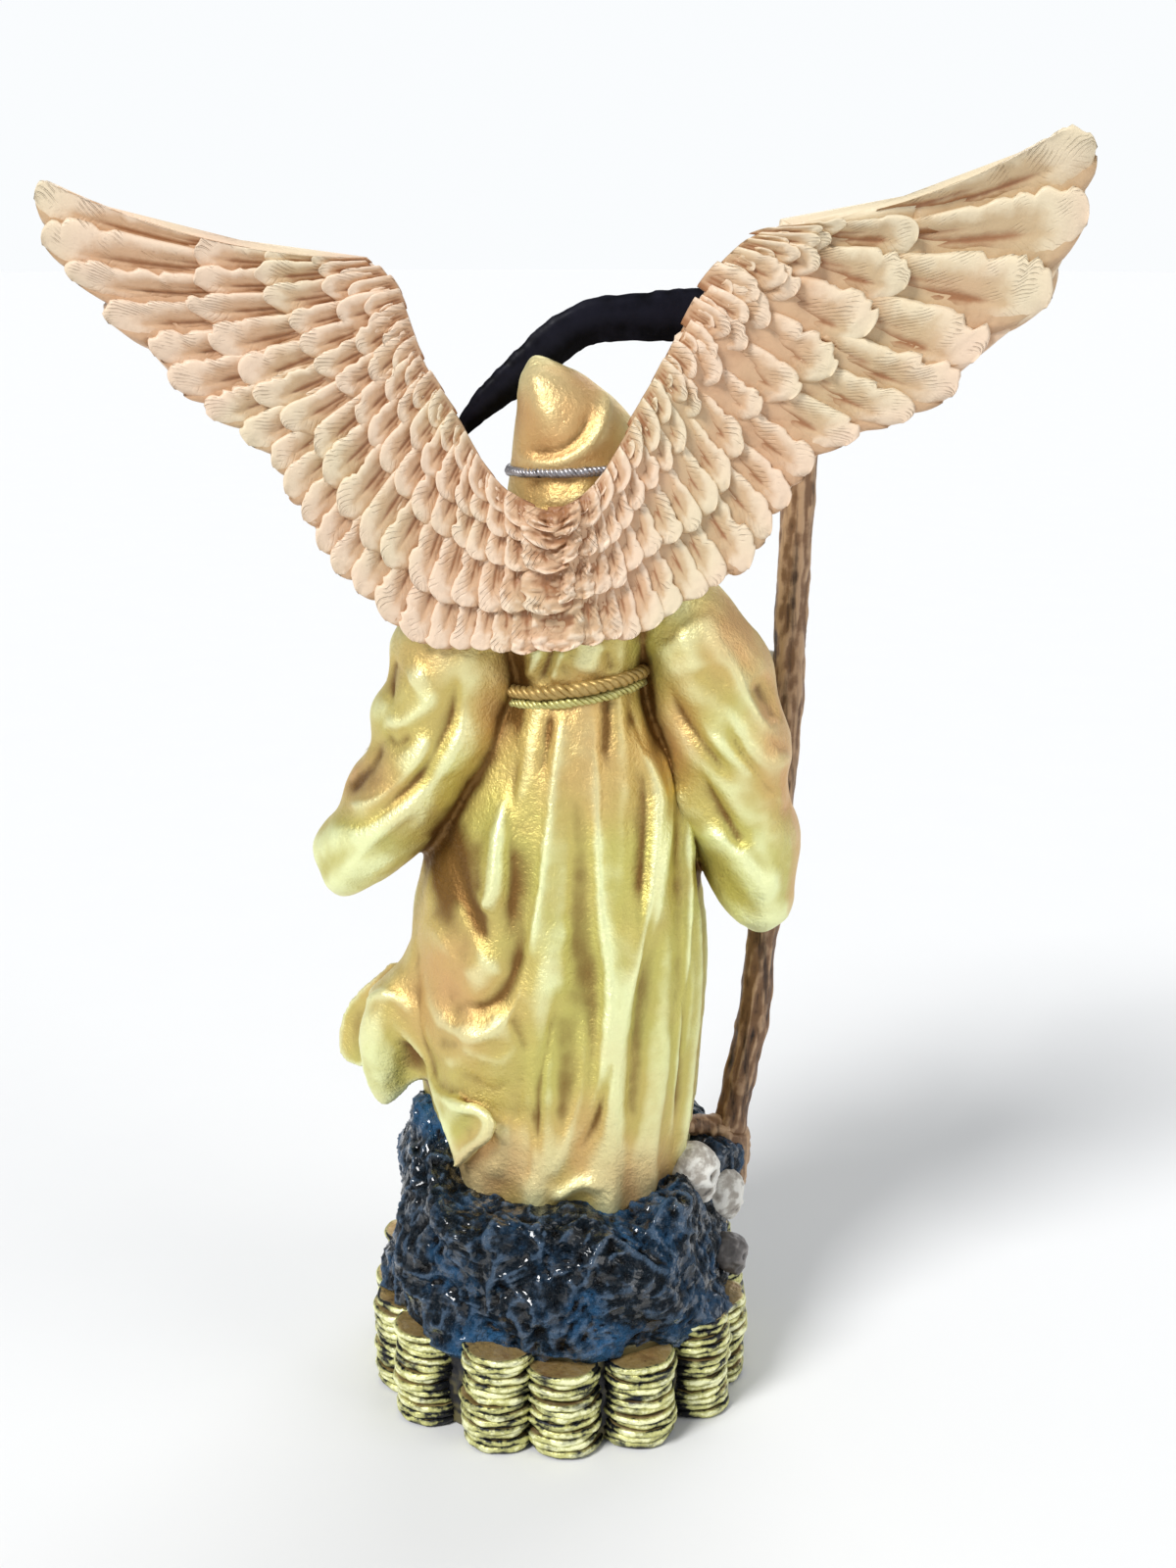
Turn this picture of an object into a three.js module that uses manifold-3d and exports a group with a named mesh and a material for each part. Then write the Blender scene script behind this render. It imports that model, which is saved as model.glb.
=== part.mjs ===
// A painted cast-resin statuette: a hooded, robed skeleton figure with a scythe and raised wings, on a rock
// ringed with stacks of coins. Millimetres, +Z up. The origin is the centre of the base's underside.
// The figure faces -Y, so its left is +X and the wings are on its +Y side.
// It is three pieces: one casting for the figure and its base, one for the pair of wings that is glued to
// the back, and the scythe, which passes through the right fist and is glued at the hood and on the rock.

import * as THREE from "three";
import { mergeVertices } from "three/addons/utils/BufferGeometryUtils.js";
import Module from "manifold-3d";

const wasm = await Module();
wasm.setup();
const { Manifold, Mesh } = wasm;

// Driving sizes of the base.
const BASE_WIDTH = 92;
const BASE_DEPTH = 98;
const COIN_DIAMETER = 17;
const COIN_STACKS = 16;
const COIN_STACK_HEIGHT = 25;
const COIN_EDGE_DEPTH = 0.8;
const ROCK_HEIGHT = 56;
const ROCK_SETBACK = 3.5;
const CRAG_HEIGHT = 13;

// Driving sizes of the figure, which stands on the rock, and of what it holds.
const FIGURE_HEIGHT = 192;
const LEFT_WING_REACH = 106;
const RIGHT_WING_REACH = 111;
const WING_THICKNESS = 3;
const FEATHER_STEP = 1.5;
const LEFT_FEATHERS = 19;
const RIGHT_FEATHERS = 16;
const ROPE_DIAMETER = 3.6;
const SHAFT_DIAMETER = 7;
const BLADE_WIDTH = 11.5;
const BLADE_THICKNESS = 3;
const GLUE_GAP = 0.3;

const { lerp, smoothstep, degToRad } = THREE.MathUtils;
const TURN = 2 * Math.PI;

// The hood leans to a point on the figure's left: height, half width, half depth and middle.
const HOOD = [
  [150, 17, 15, -4],
  [160, 16.5, 15.5, -5],
  [168, 15.5, 15, -5],
  [178, 13, 13.5, -4],
  [187, 7.5, 8.5, 0.5],
  [192, 1.5, 2, 4],
];

// The figure, the wings and the scythe are drawn with z = 0 at the top of the rock, up to the hood's point.
// Another height of the figure keeps the same proportions.
const figureScale = FIGURE_HEIGHT / HOOD[HOOD.length - 1][0];

// A value that runs smoothly through stations, each an array whose first number is its place.
function through(stations, at, column = 1) {
  const last = stations.length - 1;
  const clamped = Math.min(Math.max(at, stations[0][0]), stations[last][0]);
  let i = 0;
  while (i < last - 1 && clamped > stations[i + 1][0]) i++;
  const slope = (k) => {
    const [a, b] = [stations[Math.max(k - 1, 0)], stations[Math.min(k + 1, last)]];
    return (b[column] - a[column]) / (b[0] - a[0]);
  };
  const span = stations[i + 1][0] - stations[i][0];
  const t = (clamped - stations[i][0]) / span;
  const [t2, t3] = [t * t, t * t * t];
  return (
    (2 * t3 - 3 * t2 + 1) * stations[i][column] +
    (t3 - 2 * t2 + t) * span * slope(i) +
    (3 * t2 - 2 * t3) * stations[i + 1][column] +
    (t3 - t2) * span * slope(i + 1)
  );
}

// The shortest way round from one angle to another.
const turnBetween = (a, b) => Math.atan2(Math.sin(a - b), Math.cos(a - b));

// A smooth bump that is 1 at the middle and falls off over the given width.
const bump = (distance, width) => Math.exp(-((distance / width) ** 2));

// A closed solid whose wall is place(angle, t): once round, and t from 0 to 1 along it.
function loft(columns, rows, place) {
  const geometry = new THREE.CylinderGeometry(1, 1, 1, columns, rows);
  return reshaped(geometry, (point) => {
    const t = point.y + 0.5;
    const angle = Math.atan2(-point.z, point.x);
    if (Math.hypot(point.x, point.z) > 0.5) return place(angle, t);
    return place(angle, t).add(place(angle + Math.PI, t)).multiplyScalar(0.5);
  });
}

// A closed solid through rings that all have the same number of points, given in the plane of each ring.
function sweep(rings, place) {
  const count = rings[0].length;
  const last = rings.length - 1;
  const points = rings.flatMap((ring, r) => ring.map((point) => place(point, r)));
  const index = [];
  for (let r = 0; r < last; r++) {
    for (let i = 0; i < count; i++) {
      const [a, b] = [r * count + i, r * count + ((i + 1) % count)];
      index.push(a, b, b + count, a, b + count, a + count);
    }
  }
  const cap = (r, flip) => {
    const turned = THREE.ShapeUtils.isClockWise(rings[r]) !== flip;
    for (const face of THREE.ShapeUtils.triangulateShape(rings[r], [])) {
      const corners = face.map((i) => r * count + i);
      index.push(...(turned ? corners.reverse() : corners));
    }
  };
  cap(0, true);
  cap(last, false);
  return solid(new THREE.BufferGeometry().setFromPoints(points).setIndex(index));
}

// A closed solid shaped from a ball: shape takes each point of the unit ball, with Z up, to its place.
function shapedBall(columns, rows, shape) {
  const geometry = new THREE.SphereGeometry(1, columns, rows);
  return reshaped(geometry, (point) => shape(new THREE.Vector3(point.x, -point.z, point.y)));
}

function ellipsoid({ middle, half }, columns, rows) {
  const [size, at] = [new THREE.Vector3(...half), new THREE.Vector3(...middle)];
  return shapedBall(columns, rows, (point) => point.multiply(size).add(at));
}

function reshaped(geometry, shape) {
  const position = geometry.getAttribute("position");
  for (let i = 0; i < position.count; i++) {
    const { x, y, z } = shape(new THREE.Vector3().fromBufferAttribute(position, i));
    position.setXYZ(i, x, y, z);
  }
  return solid(geometry);
}

function solid(geometry) {
  const bare = new THREE.BufferGeometry();
  bare.setAttribute("position", geometry.getAttribute("position"));
  bare.setIndex(geometry.getIndex());
  const merged = mergeVertices(bare, 1e-3);
  const vertProperties = new Float32Array(merged.getAttribute("position").array);
  const triVerts = new Uint32Array(merged.getIndex().array);
  return new Manifold(new Mesh({ numProp: 3, vertProperties, triVerts }));
}

// The join of several solids. A pocket that is sealed inside the casting is filled.
function fuse(solids) {
  const whole = solids.reduce((sum, next) => sum.add(next));
  return whole.decompose().filter((shell) => shell.volume() > 0).reduce((sum, next) => sum.add(next));
}

function toMesh(name, whole, color, roughness, metalness) {
  const { vertProperties, triVerts } = whole.getMesh();
  const geometry = new THREE.BufferGeometry();
  geometry.setAttribute("position", new THREE.BufferAttribute(vertProperties, 3));
  geometry.setIndex(new THREE.BufferAttribute(triVerts, 1));
  geometry.computeVertexNormals();
  const mesh = new THREE.Mesh(geometry, new THREE.MeshStandardMaterial({ color, roughness, metalness }));
  mesh.name = name;
  return mesh;
}

// The base's outline in plan: a round-cornered oval, inset all round.
const OVAL_POWER = 2.3;
function ovalReach(angle, inset) {
  const [a, b] = [BASE_WIDTH / 2 - inset, BASE_DEPTH / 2 - inset];
  const x = Math.abs(Math.cos(angle) / a) ** OVAL_POWER;
  const y = Math.abs(Math.sin(angle) / b) ** OVAL_POWER;
  return (x + y) ** (-1 / OVAL_POWER);
}

const onOval = (angle, reach, z) => new THREE.Vector3(reach * Math.cos(angle), reach * Math.sin(angle), z);

// The ring of coin stacks: each stack's round edge shows outside the rock, with grooves between its coins.
// Two stacks in three are one or two coins short.
const COIN_GROOVES = 3;
const COLUMNS_A_STACK = 4;
const COINS_A_STACK = 12;
function coinRing() {
  const radius = COIN_DIAMETER / 2;
  return loft(COIN_STACKS * COLUMNS_A_STACK, COIN_GROOVES * 2, (angle, t) => {
    const stack = Math.round((angle / TURN + 1) * COIN_STACKS) % COIN_STACKS;
    const middle = (stack / COIN_STACKS) * TURN;
    const out = ovalReach(middle, radius);
    const off = turnBetween(angle, middle);
    const across = Math.min(Math.abs(out * Math.sin(off)), radius);
    const inGroove = Math.round(t * COIN_GROOVES * 2) % 2;
    const edge = out * Math.cos(off) + Math.sqrt(radius * radius - across * across);
    const coins = COINS_A_STACK - ((stack * 2) % 3);
    const height = (COIN_STACK_HEIGHT * coins) / COINS_A_STACK;
    return onOval(angle, edge - inGroove * COIN_EDGE_DEPTH, t * height);
  });
}

// The rock rises from the coins to the hem, with a crag on the figure's left and a ledge under the scythe.
const CRAG_ANGLE = degToRad(-8);
const CRAG_SPREAD = 0.42;
const LEDGE_ANGLE = degToRad(198);
const LEDGE_SPREAD = 0.3;
const LEDGE_DROP = 3;
const ROCK_SHOULDER = 9;
const ROCK_LUMPS = 1.2;
function rock() {
  const bottom = COIN_STACK_HEIGHT * 0.8;
  return loft(28, 6, (angle, t) => {
    const crag = bump(turnBetween(angle, CRAG_ANGLE), CRAG_SPREAD);
    const ledge = bump(turnBetween(angle, LEDGE_ANGLE), LEDGE_SPREAD);
    const lump = Math.sin(3 * angle + 5 * t) + Math.sin(5 * angle - 6 * t + 1) + Math.sin(8 * angle + 9 * t);
    const top = ROCK_HEIGHT + ROCK_LUMPS * Math.sin(4 * angle) + CRAG_HEIGHT * crag - LEDGE_DROP * ledge;
    const shoulder = ROCK_SHOULDER * t ** 3 * (1 - 0.7 * Math.max(crag, ledge));
    const reach = ovalReach(angle, ROCK_SETBACK) + ROCK_LUMPS * lump + LEDGE_DROP * ledge - shoulder;
    const rise = Math.sin((t * Math.PI) / 2) ** 1.2;
    return onOval(angle, reach, lerp(bottom, top, rise));
  });
}

// The small skulls on the rock: the angle round the base, how far in from its edge, how far up from the
// coins to the hem as a share, the radius, and the angle that each looks to.
const SMALL_SKULLS = [
  { angle: 165, inset: 13, up: 0.93, radius: 7.5, turn: 165, sockets: false },
  { angle: 183, inset: 6, up: 0.56, radius: 7, turn: 190, sockets: false },
  { angle: 172, inset: 4, up: 0.16, radius: 5.5, turn: 170, sockets: false },
  { angle: 245, inset: 8, up: 0.6, radius: 8.5, turn: 258, sockets: true },
  { angle: 278, inset: 8, up: 0.42, radius: 9, turn: 276, sockets: true },
];

// A skull that looks along +X before it is turned: a ball with a narrower jaw drawn down in front.
function smallSkull({ angle, inset, up, radius, turn, sockets }) {
  const head = shapedBall(9, 6, ({ x, y, z }) => {
    const jaw = smoothstep(-z, 0.05, 0.9) * smoothstep(x, -0.5, 0.6);
    return new THREE.Vector3(x * (1 + 0.1 * jaw), y * (0.88 - 0.25 * jaw), z * (0.92 + 0.3 * jaw));
  });
  const socket = (side) => ellipsoid({ middle: [1, side * 0.33, -0.05], half: [0.3, 0.24, 0.26] }, 5, 4);
  const carved = sockets ? head.subtract(socket(1)).subtract(socket(-1)) : head;
  const from = degToRad(angle);
  const place = onOval(from, ovalReach(from, inset), lerp(COIN_STACK_HEIGHT, ROCK_HEIGHT, up));
  return carved.scale([radius, radius, radius]).rotate([0, 0, turn]).translate(place.toArray());
}

// The robe's body from the hem to the neck: height, half width, half depth and middle. The skirt's heights
// are shares of the belt's, and those of the bodice are shares of the way from the belt to the neck.
const BELT_HEIGHT = 119;
const NECK_HEIGHT = 165;
const HEM_HEIGHT = -8;
const ROBE_MIDDLE_Y = -1;
const skirtAt = (share) => BELT_HEIGHT * share;
const bodiceAt = (share) => lerp(BELT_HEIGHT, NECK_HEIGHT, share);
const ROBE = [
  [HEM_HEIGHT, 30, 31.5, 0],
  [skirtAt(0.15), 33, 31, 0],
  [skirtAt(0.45), 35, 28, 0],
  [skirtAt(0.67), 30.5, 25, -0.5],
  [skirtAt(0.87), 21.5, 20.5, -2.5],
  [BELT_HEIGHT, 16, 16.5, -4],
  [bodiceAt(0.24), 19, 18, -3.5],
  [bodiceAt(0.46), 23, 19, -3],
  [bodiceAt(0.63), 24, 18.5, -3],
  [bodiceAt(0.83), 18.5, 16.5, -4],
  [NECK_HEIGHT, 12, 12.5, -5],
];
const ROPE_HALF = ROPE_DIAMETER / 2 / figureScale;
const ROBE_ROWS = [
  HEM_HEIGHT,
  ...[0.03, 0.15, 0.29, 0.44, 0.59, 0.74, 0.87, 0.95].map(skirtAt),
  BELT_HEIGHT - ROPE_HALF,
  BELT_HEIGHT,
  BELT_HEIGHT + ROPE_HALF,
  ...[0.13, 0.33, 0.52, 0.69, 0.85, 1].map(bodiceAt),
];

// Pleats of the skirt: the angle at the belt and at the hem, half width in degrees, and height. The cloth
// between the pleats is set in a little from the robe's own width.
const PLEAT_SET_IN = 1.4;
const PLEATS = [
  [97, 80, 7, 4.6],
  [127, 112, 7, 5],
  [148, 132, 7, 4.6],
  [168, 160, 8, 4],
  [192, 192, 8, 4],
  [218, 220, 8, 4],
  [246, 248, 8, 4.4],
  [272, 276, 8, 4],
  [296, 302, 8, 4.4],
  [322, 326, 9, 4],
  [352, 352, 10, 3],
  [62, 50, 9, 3.6],
];

function robePoint(angle, z) {
  const down = smoothstep(-z, -BELT_HEIGHT, -30);
  const above = smoothstep(z, BELT_HEIGHT, BELT_HEIGHT + 20);
  const pleats = PLEATS.reduce((sum, [waist, hem, width, height]) => {
    const middle = degToRad(lerp(waist, hem, smoothstep(-z, -BELT_HEIGHT, 0)));
    return sum + height * bump(turnBetween(angle, middle), degToRad(width));
  }, 0);
  const fold = (pleats - PLEAT_SET_IN) * (0.3 + 0.7 * down) * (1 - 0.75 * above);
  const rope = z === BELT_HEIGHT ? ROPE_HALF - Math.min(fold, 0) : 0;
  const [a, b, x] = [1, 2, 3].map((column) => through(ROBE, z, column));
  const reach = 1 / Math.hypot(Math.cos(angle) / a, Math.sin(angle) / b) + fold + rope;
  return new THREE.Vector3(x + reach * Math.cos(angle), ROBE_MIDDLE_Y + reach * Math.sin(angle), z);
}

function robe() {
  const last = ROBE_ROWS.length - 1;
  return loft(42, last, (angle, t) => robePoint(angle, ROBE_ROWS[Math.round(t * last)]));
}

// The hem that the wind lifts on the figure's left: angle round the body, reach of the rim, height of the
// rim, and height of the edge that hangs below it.
const WINDBLOWN_HEM = [
  [-62, 28, 34, 10],
  [-42, 40, 40, 16],
  [-18, 55, 46, 21],
  [-6, 49, 42, 18],
  [6, 44.5, 39, 15],
  [16, 43, 36, 21],
  [27, 33.5, 28, 19],
  [42, 38, 20, 9],
  [60, 37, 17, 6],
  [80, 30, 12, 2],
];

const HEM_STEPS = 16;
function windblownHem() {
  const [first, last] = [WINDBLOWN_HEM[0][0], WINDBLOWN_HEM[WINDBLOWN_HEM.length - 1][0]];
  const angleAt = (r) => lerp(first, last, r / HEM_STEPS);
  const rings = Array.from({ length: HEM_STEPS + 1 }, (_, r) => {
    const [reach, rim, edge] = [1, 2, 3].map((column) => through(WINDBLOWN_HEM, angleAt(r), column));
    return [
      [14, rim + 26],
      [lerp(29, reach, 0.1), rim + 26],
      [lerp(30, reach, 0.55), rim + 9],
      [reach, rim],
      [reach + 0.3, rim - 3],
      [reach - 4, lerp(rim, edge, 0.5)],
      [reach - 5, edge],
      [14, edge],
    ].map(([x, z]) => new THREE.Vector2(x, z));
  });
  return sweep(rings, (point, r) => onOval(degToRad(angleAt(r)), point.x, point.y));
}

// The hood is hollow in front, round a plain skull that looks along -Y.
const HOOD_OPENING = { middle: [-5, -14, 167], half: [10, 15, 14.5] };
const FACE = new THREE.Vector3(-5, -7, 168);
const FACE_RADIUS = 9;

function hood() {
  const [low, high] = [HOOD[0][0], HOOD[HOOD.length - 1][0]];
  const cloth = loft(18, 8, (angle, t) => {
    const z = lerp(low, high, t);
    const [a, b, x] = [1, 2, 3].map((column) => through(HOOD, z, column));
    return new THREE.Vector3(x + a * Math.cos(angle), lerp(-2, 2, t) + b * Math.sin(angle), z);
  });
  return cloth.subtract(ellipsoid(HOOD_OPENING, 10, 8)).add(face());
}

function face() {
  const head = shapedBall(12, 8, ({ x, y, z }) => {
    const jaw = smoothstep(-z, 0.1, 0.9);
    const front = jaw * smoothstep(-y, -0.4, 0.7);
    const half = x * (0.86 - 0.3 * front);
    const point = new THREE.Vector3(half, y * (1 + 0.05 * jaw), z * (0.98 + 0.32 * front));
    return point.multiplyScalar(FACE_RADIUS).add(FACE);
  });
  const hollow = (x, z, size) => {
    const middle = [FACE.x + x, FACE.y - FACE_RADIUS, FACE.z + z];
    return ellipsoid({ middle, half: [size, size * 1.4, size * 1.1] }, 6, 4);
  };
  const sockets = [hollow(-3.3, -0.4, 2.3), hollow(3.3, -0.4, 2.3), hollow(0, -4.6, 1.3)];
  return sockets.reduce((rest, socket) => rest.subtract(socket), head);
}

function curveThrough(stops) {
  return new THREE.CatmullRomCurve3(stops.map(([x, y, z]) => new THREE.Vector3(x, y, z)));
}

// A round limb that runs through stops, each a place and the radius there.
function limb(stops, columns, rows) {
  const curve = curveThrough(stops);
  const radii = stops.map(([, , , radius], i) => [i / (stops.length - 1), radius]);
  return loft(columns, rows, (angle, t) => {
    const ahead = curve.getTangent(t);
    const side = new THREE.Vector3(1, 0, 0).cross(ahead).normalize();
    const up = ahead.clone().cross(side);
    const radius = through(radii, t);
    return curve
      .getPoint(t)
      .addScaledVector(side, radius * Math.cos(angle))
      .addScaledVector(up, radius * Math.sin(angle));
  });
}

// A wide sleeve that hangs from the shoulder. Each station is a height, the middle there, and the half
// width and half depth. The folds' depth is a share of the sleeve's width, and they fade at the shoulder.
function drapedSleeve(stations, { fold, pitch, slant, sag }) {
  const [low, high] = [stations[0][0], stations[stations.length - 1][0]];
  return loft(16, 12, (angle, t) => {
    const z = lerp(low, high, t);
    const [x, y, a, b] = [1, 2, 3, 4].map((column) => through(stations, z, column));
    const across = Math.cos(angle);
    const wave = Math.sin((TURN * (z + slant * across - sag * across * across)) / pitch);
    const shape = 1 + fold * wave * (1 - smoothstep(t, 0.6, 1));
    return new THREE.Vector3(x + a * shape * across, y + b * shape * Math.sin(angle), z);
  });
}

const LEFT_SLEEVE = [
  [65.5, 51, -5, 3, 7],
  [69, 49.5, -5, 7.5, 12],
  [76, 45, -4, 13, 16],
  [84, 40, -3, 15, 18],
  [94, 33, -1, 15.5, 17],
  [104, 28, 0, 16.5, 16],
  [116, 25, 0.5, 16, 15.5],
  [128, 23, 1, 14.5, 15],
  [139, 20, 1, 12.5, 13.5],
  [148, 15, 0, 9, 10],
];
const RIGHT_SLEEVE = [
  [57, -48.5, -2, 3, 6],
  [62, -47.5, -2, 8, 12],
  [75, -45.5, -2, 12, 15],
  [90, -41.5, -1.5, 13.5, 15.5],
  [106, -38.5, 0, 15, 15],
  [122, -34.5, 1, 15, 14.5],
  [134, -29, 1, 13.5, 13.5],
  [143, -23, 1, 11, 12],
  [150, -17, 0, 8, 9],
];
const LEFT_FOLDS = { fold: 0.1, pitch: 17, slant: 3, sag: -9 };
const RIGHT_FOLDS = { fold: 0.08, pitch: 22, slant: -16, sag: 4 };

// The open mouth of each sleeve, in front.
const LEFT_MOUTH = { middle: [45, -21, 84], half: [9, 15, 15] };
const RIGHT_MOUTH = { middle: [-46, -18, 86], half: [8, 14, 24] };

// The left hand is held out, palm up, with its fingers half closed.
const LEFT_WRIST = [
  [40, 0, 92, 6.5],
  [43, -14, 95, 5],
  [41, -28, 98, 3.8],
  [38.5, -37, 103, 4.2],
];
const FINGER = [
  [35, -35, 103, 1.6],
  [34, -41, 104, 1.4],
  [33.5, -44, 109, 1.1],
];
const FINGER_SPREAD = [2.4, 2.8, 3.2];
function leftHand() {
  const joints = (i) => FINGER.map(([x, ...rest], joint) => [x + i * FINGER_SPREAD[joint], ...rest]);
  const finger = (i) => limb(joints(i), 5, 2);
  return fuse([limb(LEFT_WRIST, 8, 4), ...[0, 1, 2, 3].map(finger)]);
}

// The scythe's shaft, from its foot to its top, in the drawn figure's frame. The foot stands on the ledge,
// so it follows the base's width, and the bend above it fades up to the fist.
const SHAFT_FOOT_INSET = 3.5;
const FIST_STOP = 4;
const DRAWN_SHAFT = [
  [-42.5, -14, -6],
  [-47.3, -15.5, 21],
  [-50.3, -17, 48],
  [-54, -19, 84],
  [-55.6, -20.5, 119],
  [-57, -22.5, 164],
  [-57.5, -24, 201],
];
const footShift = -(BASE_WIDTH / 2 - SHAFT_FOOT_INSET) / figureScale - DRAWN_SHAFT[0][0];
const SHAFT = DRAWN_SHAFT.map(([x, y, z], i) => [x + footShift * Math.max(0, 1 - i / FIST_STOP), y, z]);
const SHAFT_RADIUS = SHAFT_DIAMETER / 2 / figureScale;
const SHAFT_FOOT_FLARE = 0.6;

// The middle of the blade and its width there as a share of the full one, from the shaft to the point.
const BLADE = [
  [-60.5, -24, 195, 0.9],
  [-46, -18, 201.5, 1],
  [-29, -12, 200, 1],
  [-7, -9.5, 198.3, 0.86],
  [6.3, -9.5, 188.9, 0.8],
  [18, -9.5, 179, 0.5],
  [26, -9.5, 169, 0.05],
];

// The scythe, or with a gap the room that the figure leaves for it.
const BLADE_STEPS = 16;
function scythe(gap) {
  const spare = gap / figureScale;
  const radiusAt = (i) => SHAFT_RADIUS + spare + (i === 0 ? SHAFT_FOOT_FLARE : 0);
  const shaft = limb(SHAFT.map((stop, i) => [...stop, radiusAt(i)]), 9, 14);
  const middle = curveThrough(BLADE);
  const shares = BLADE.map(([, , , share], i) => [i / (BLADE.length - 1), share]);
  const rings = Array.from({ length: BLADE_STEPS + 1 }, (_, r) => {
    const half = (BLADE_WIDTH / 2 / figureScale) * through(shares, r / BLADE_STEPS) + spare;
    const thick = (BLADE_THICKNESS / 2 / figureScale) * Math.min(1, half / 3) + spare;
    return [
      [-half, -0.15 * thick],
      [half * 0.4, -thick],
      [half, -0.7 * thick],
      [half, 0.7 * thick],
      [half * 0.4, thick],
      [-half, 0.15 * thick],
    ].map(([x, y]) => new THREE.Vector2(x, y));
  });
  const blade = sweep(rings, (point, r) => {
    const ahead = middle.getTangent(r / BLADE_STEPS);
    const outward = new THREE.Vector3(0, -1, 0).cross(ahead).normalize();
    const flat = ahead.clone().cross(outward);
    return middle.getPoint(r / BLADE_STEPS).addScaledVector(outward, point.x).addScaledVector(flat, point.y);
  });
  return shaft.add(blade);
}

// The right fist closes round the shaft, with four finger ridges.
const FIST = new THREE.Vector3(...SHAFT[FIST_STOP]);
const FIST_HEIGHT = 15;
const FINGER_THICKNESS = 2.8;
const RIGHT_WRIST = [
  [-43, 0, 103, 7],
  [-49, -11, 113, 5.5],
  [-55, -20, 119, 4.6],
];
function rightFist() {
  const grip = loft(10, 8, (angle, t) => {
    const knuckle = 0.9 * Math.abs(Math.sin(4 * Math.PI * t));
    const rounding = t === 0 || t === 1 ? 1 : 0;
    const reach = SHAFT_RADIUS + FINGER_THICKNESS + knuckle - rounding;
    return onOval(angle, reach, (t - 0.5) * FIST_HEIGHT).add(FIST);
  });
  return grip.add(limb(RIGHT_WRIST, 8, 3));
}

// The root on the rock's ledge that the scythe's foot stands in. It widens and leans inwards as it goes
// down into the rock.
const SOCKET_DEPTH = 4;
const SOCKET_WALL = 2.4;
const ROOT_HEIGHT = 16;
function rootStub() {
  const [x, y, z] = SHAFT[0];
  return loft(10, 3, (angle, t) => {
    const widening = (1.7 - 0.65 * t) * (1 + 0.14 * Math.sin(3 * angle + 5 * t));
    const lean = 4 * (1 - t);
    const height = z + SOCKET_DEPTH - (1 - t) * ROOT_HEIGHT;
    const around = onOval(angle, (SHAFT_RADIUS + SOCKET_WALL) * widening, height);
    return around.add(new THREE.Vector3(x + lean, y, 0));
  });
}

// Each wing is a fan of feather lines, from the arm of the wing to the tips, stretched sideways to its reach.
// A line runs from [x, z] on the arm to [x, z] on the trailing edge. The right wing is drawn mirrored.
const LEFT_FAN = [
  [[0, 159.5], [0, 131]],
  [[7, 162], [16.4, 130.3]],
  [[13.5, 169], [31, 132.5]],
  [[18.5, 178], [45, 144.5]],
  [[23.5, 186], [54.5, 156.5]],
  [[27.5, 193], [63, 172.5]],
  [[30.5, 200], [79.5, 185]],
  [[33, 206], [94.5, 202]],
  [[36, 211], [105.8, 214.5]],
  [[39.3, 214.1], [106, 228]],
];
const RIGHT_FAN = [
  [[0, 159.5], [0, 131]],
  [[6, 162.5], [16, 132.3]],
  [[11.5, 170], [28, 139.5]],
  [[16.5, 178.5], [40, 146]],
  [[20.5, 186.5], [49.5, 161]],
  [[24, 194], [60, 173.5]],
  [[29, 201.5], [76, 180]],
  [[33, 207.5], [88, 190]],
  [[39, 214.5], [104, 206]],
  [[44.5, 218.5], [111, 227]],
  [[49.6, 221], [108, 242]],
];
// How far back the tips of each wing sweep, and the flat seat on the figure's back.
const LEFT_SWEEP = 6;
const RIGHT_SWEEP = 13;
const WING_SEAT = 16;

// Each feather is a few columns wide, with a notch between two feathers. The rows' tips are shares of the
// feather lines' length, and each row lies one step higher than the row outside it.
const FEATHER_COLUMNS = 3;
const FEATHER_ROWS = [0.24, 0.45, 0.68];
const NOTCH_LENGTH = 0.04;
const FEATHER_DROOP = 16;

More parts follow.
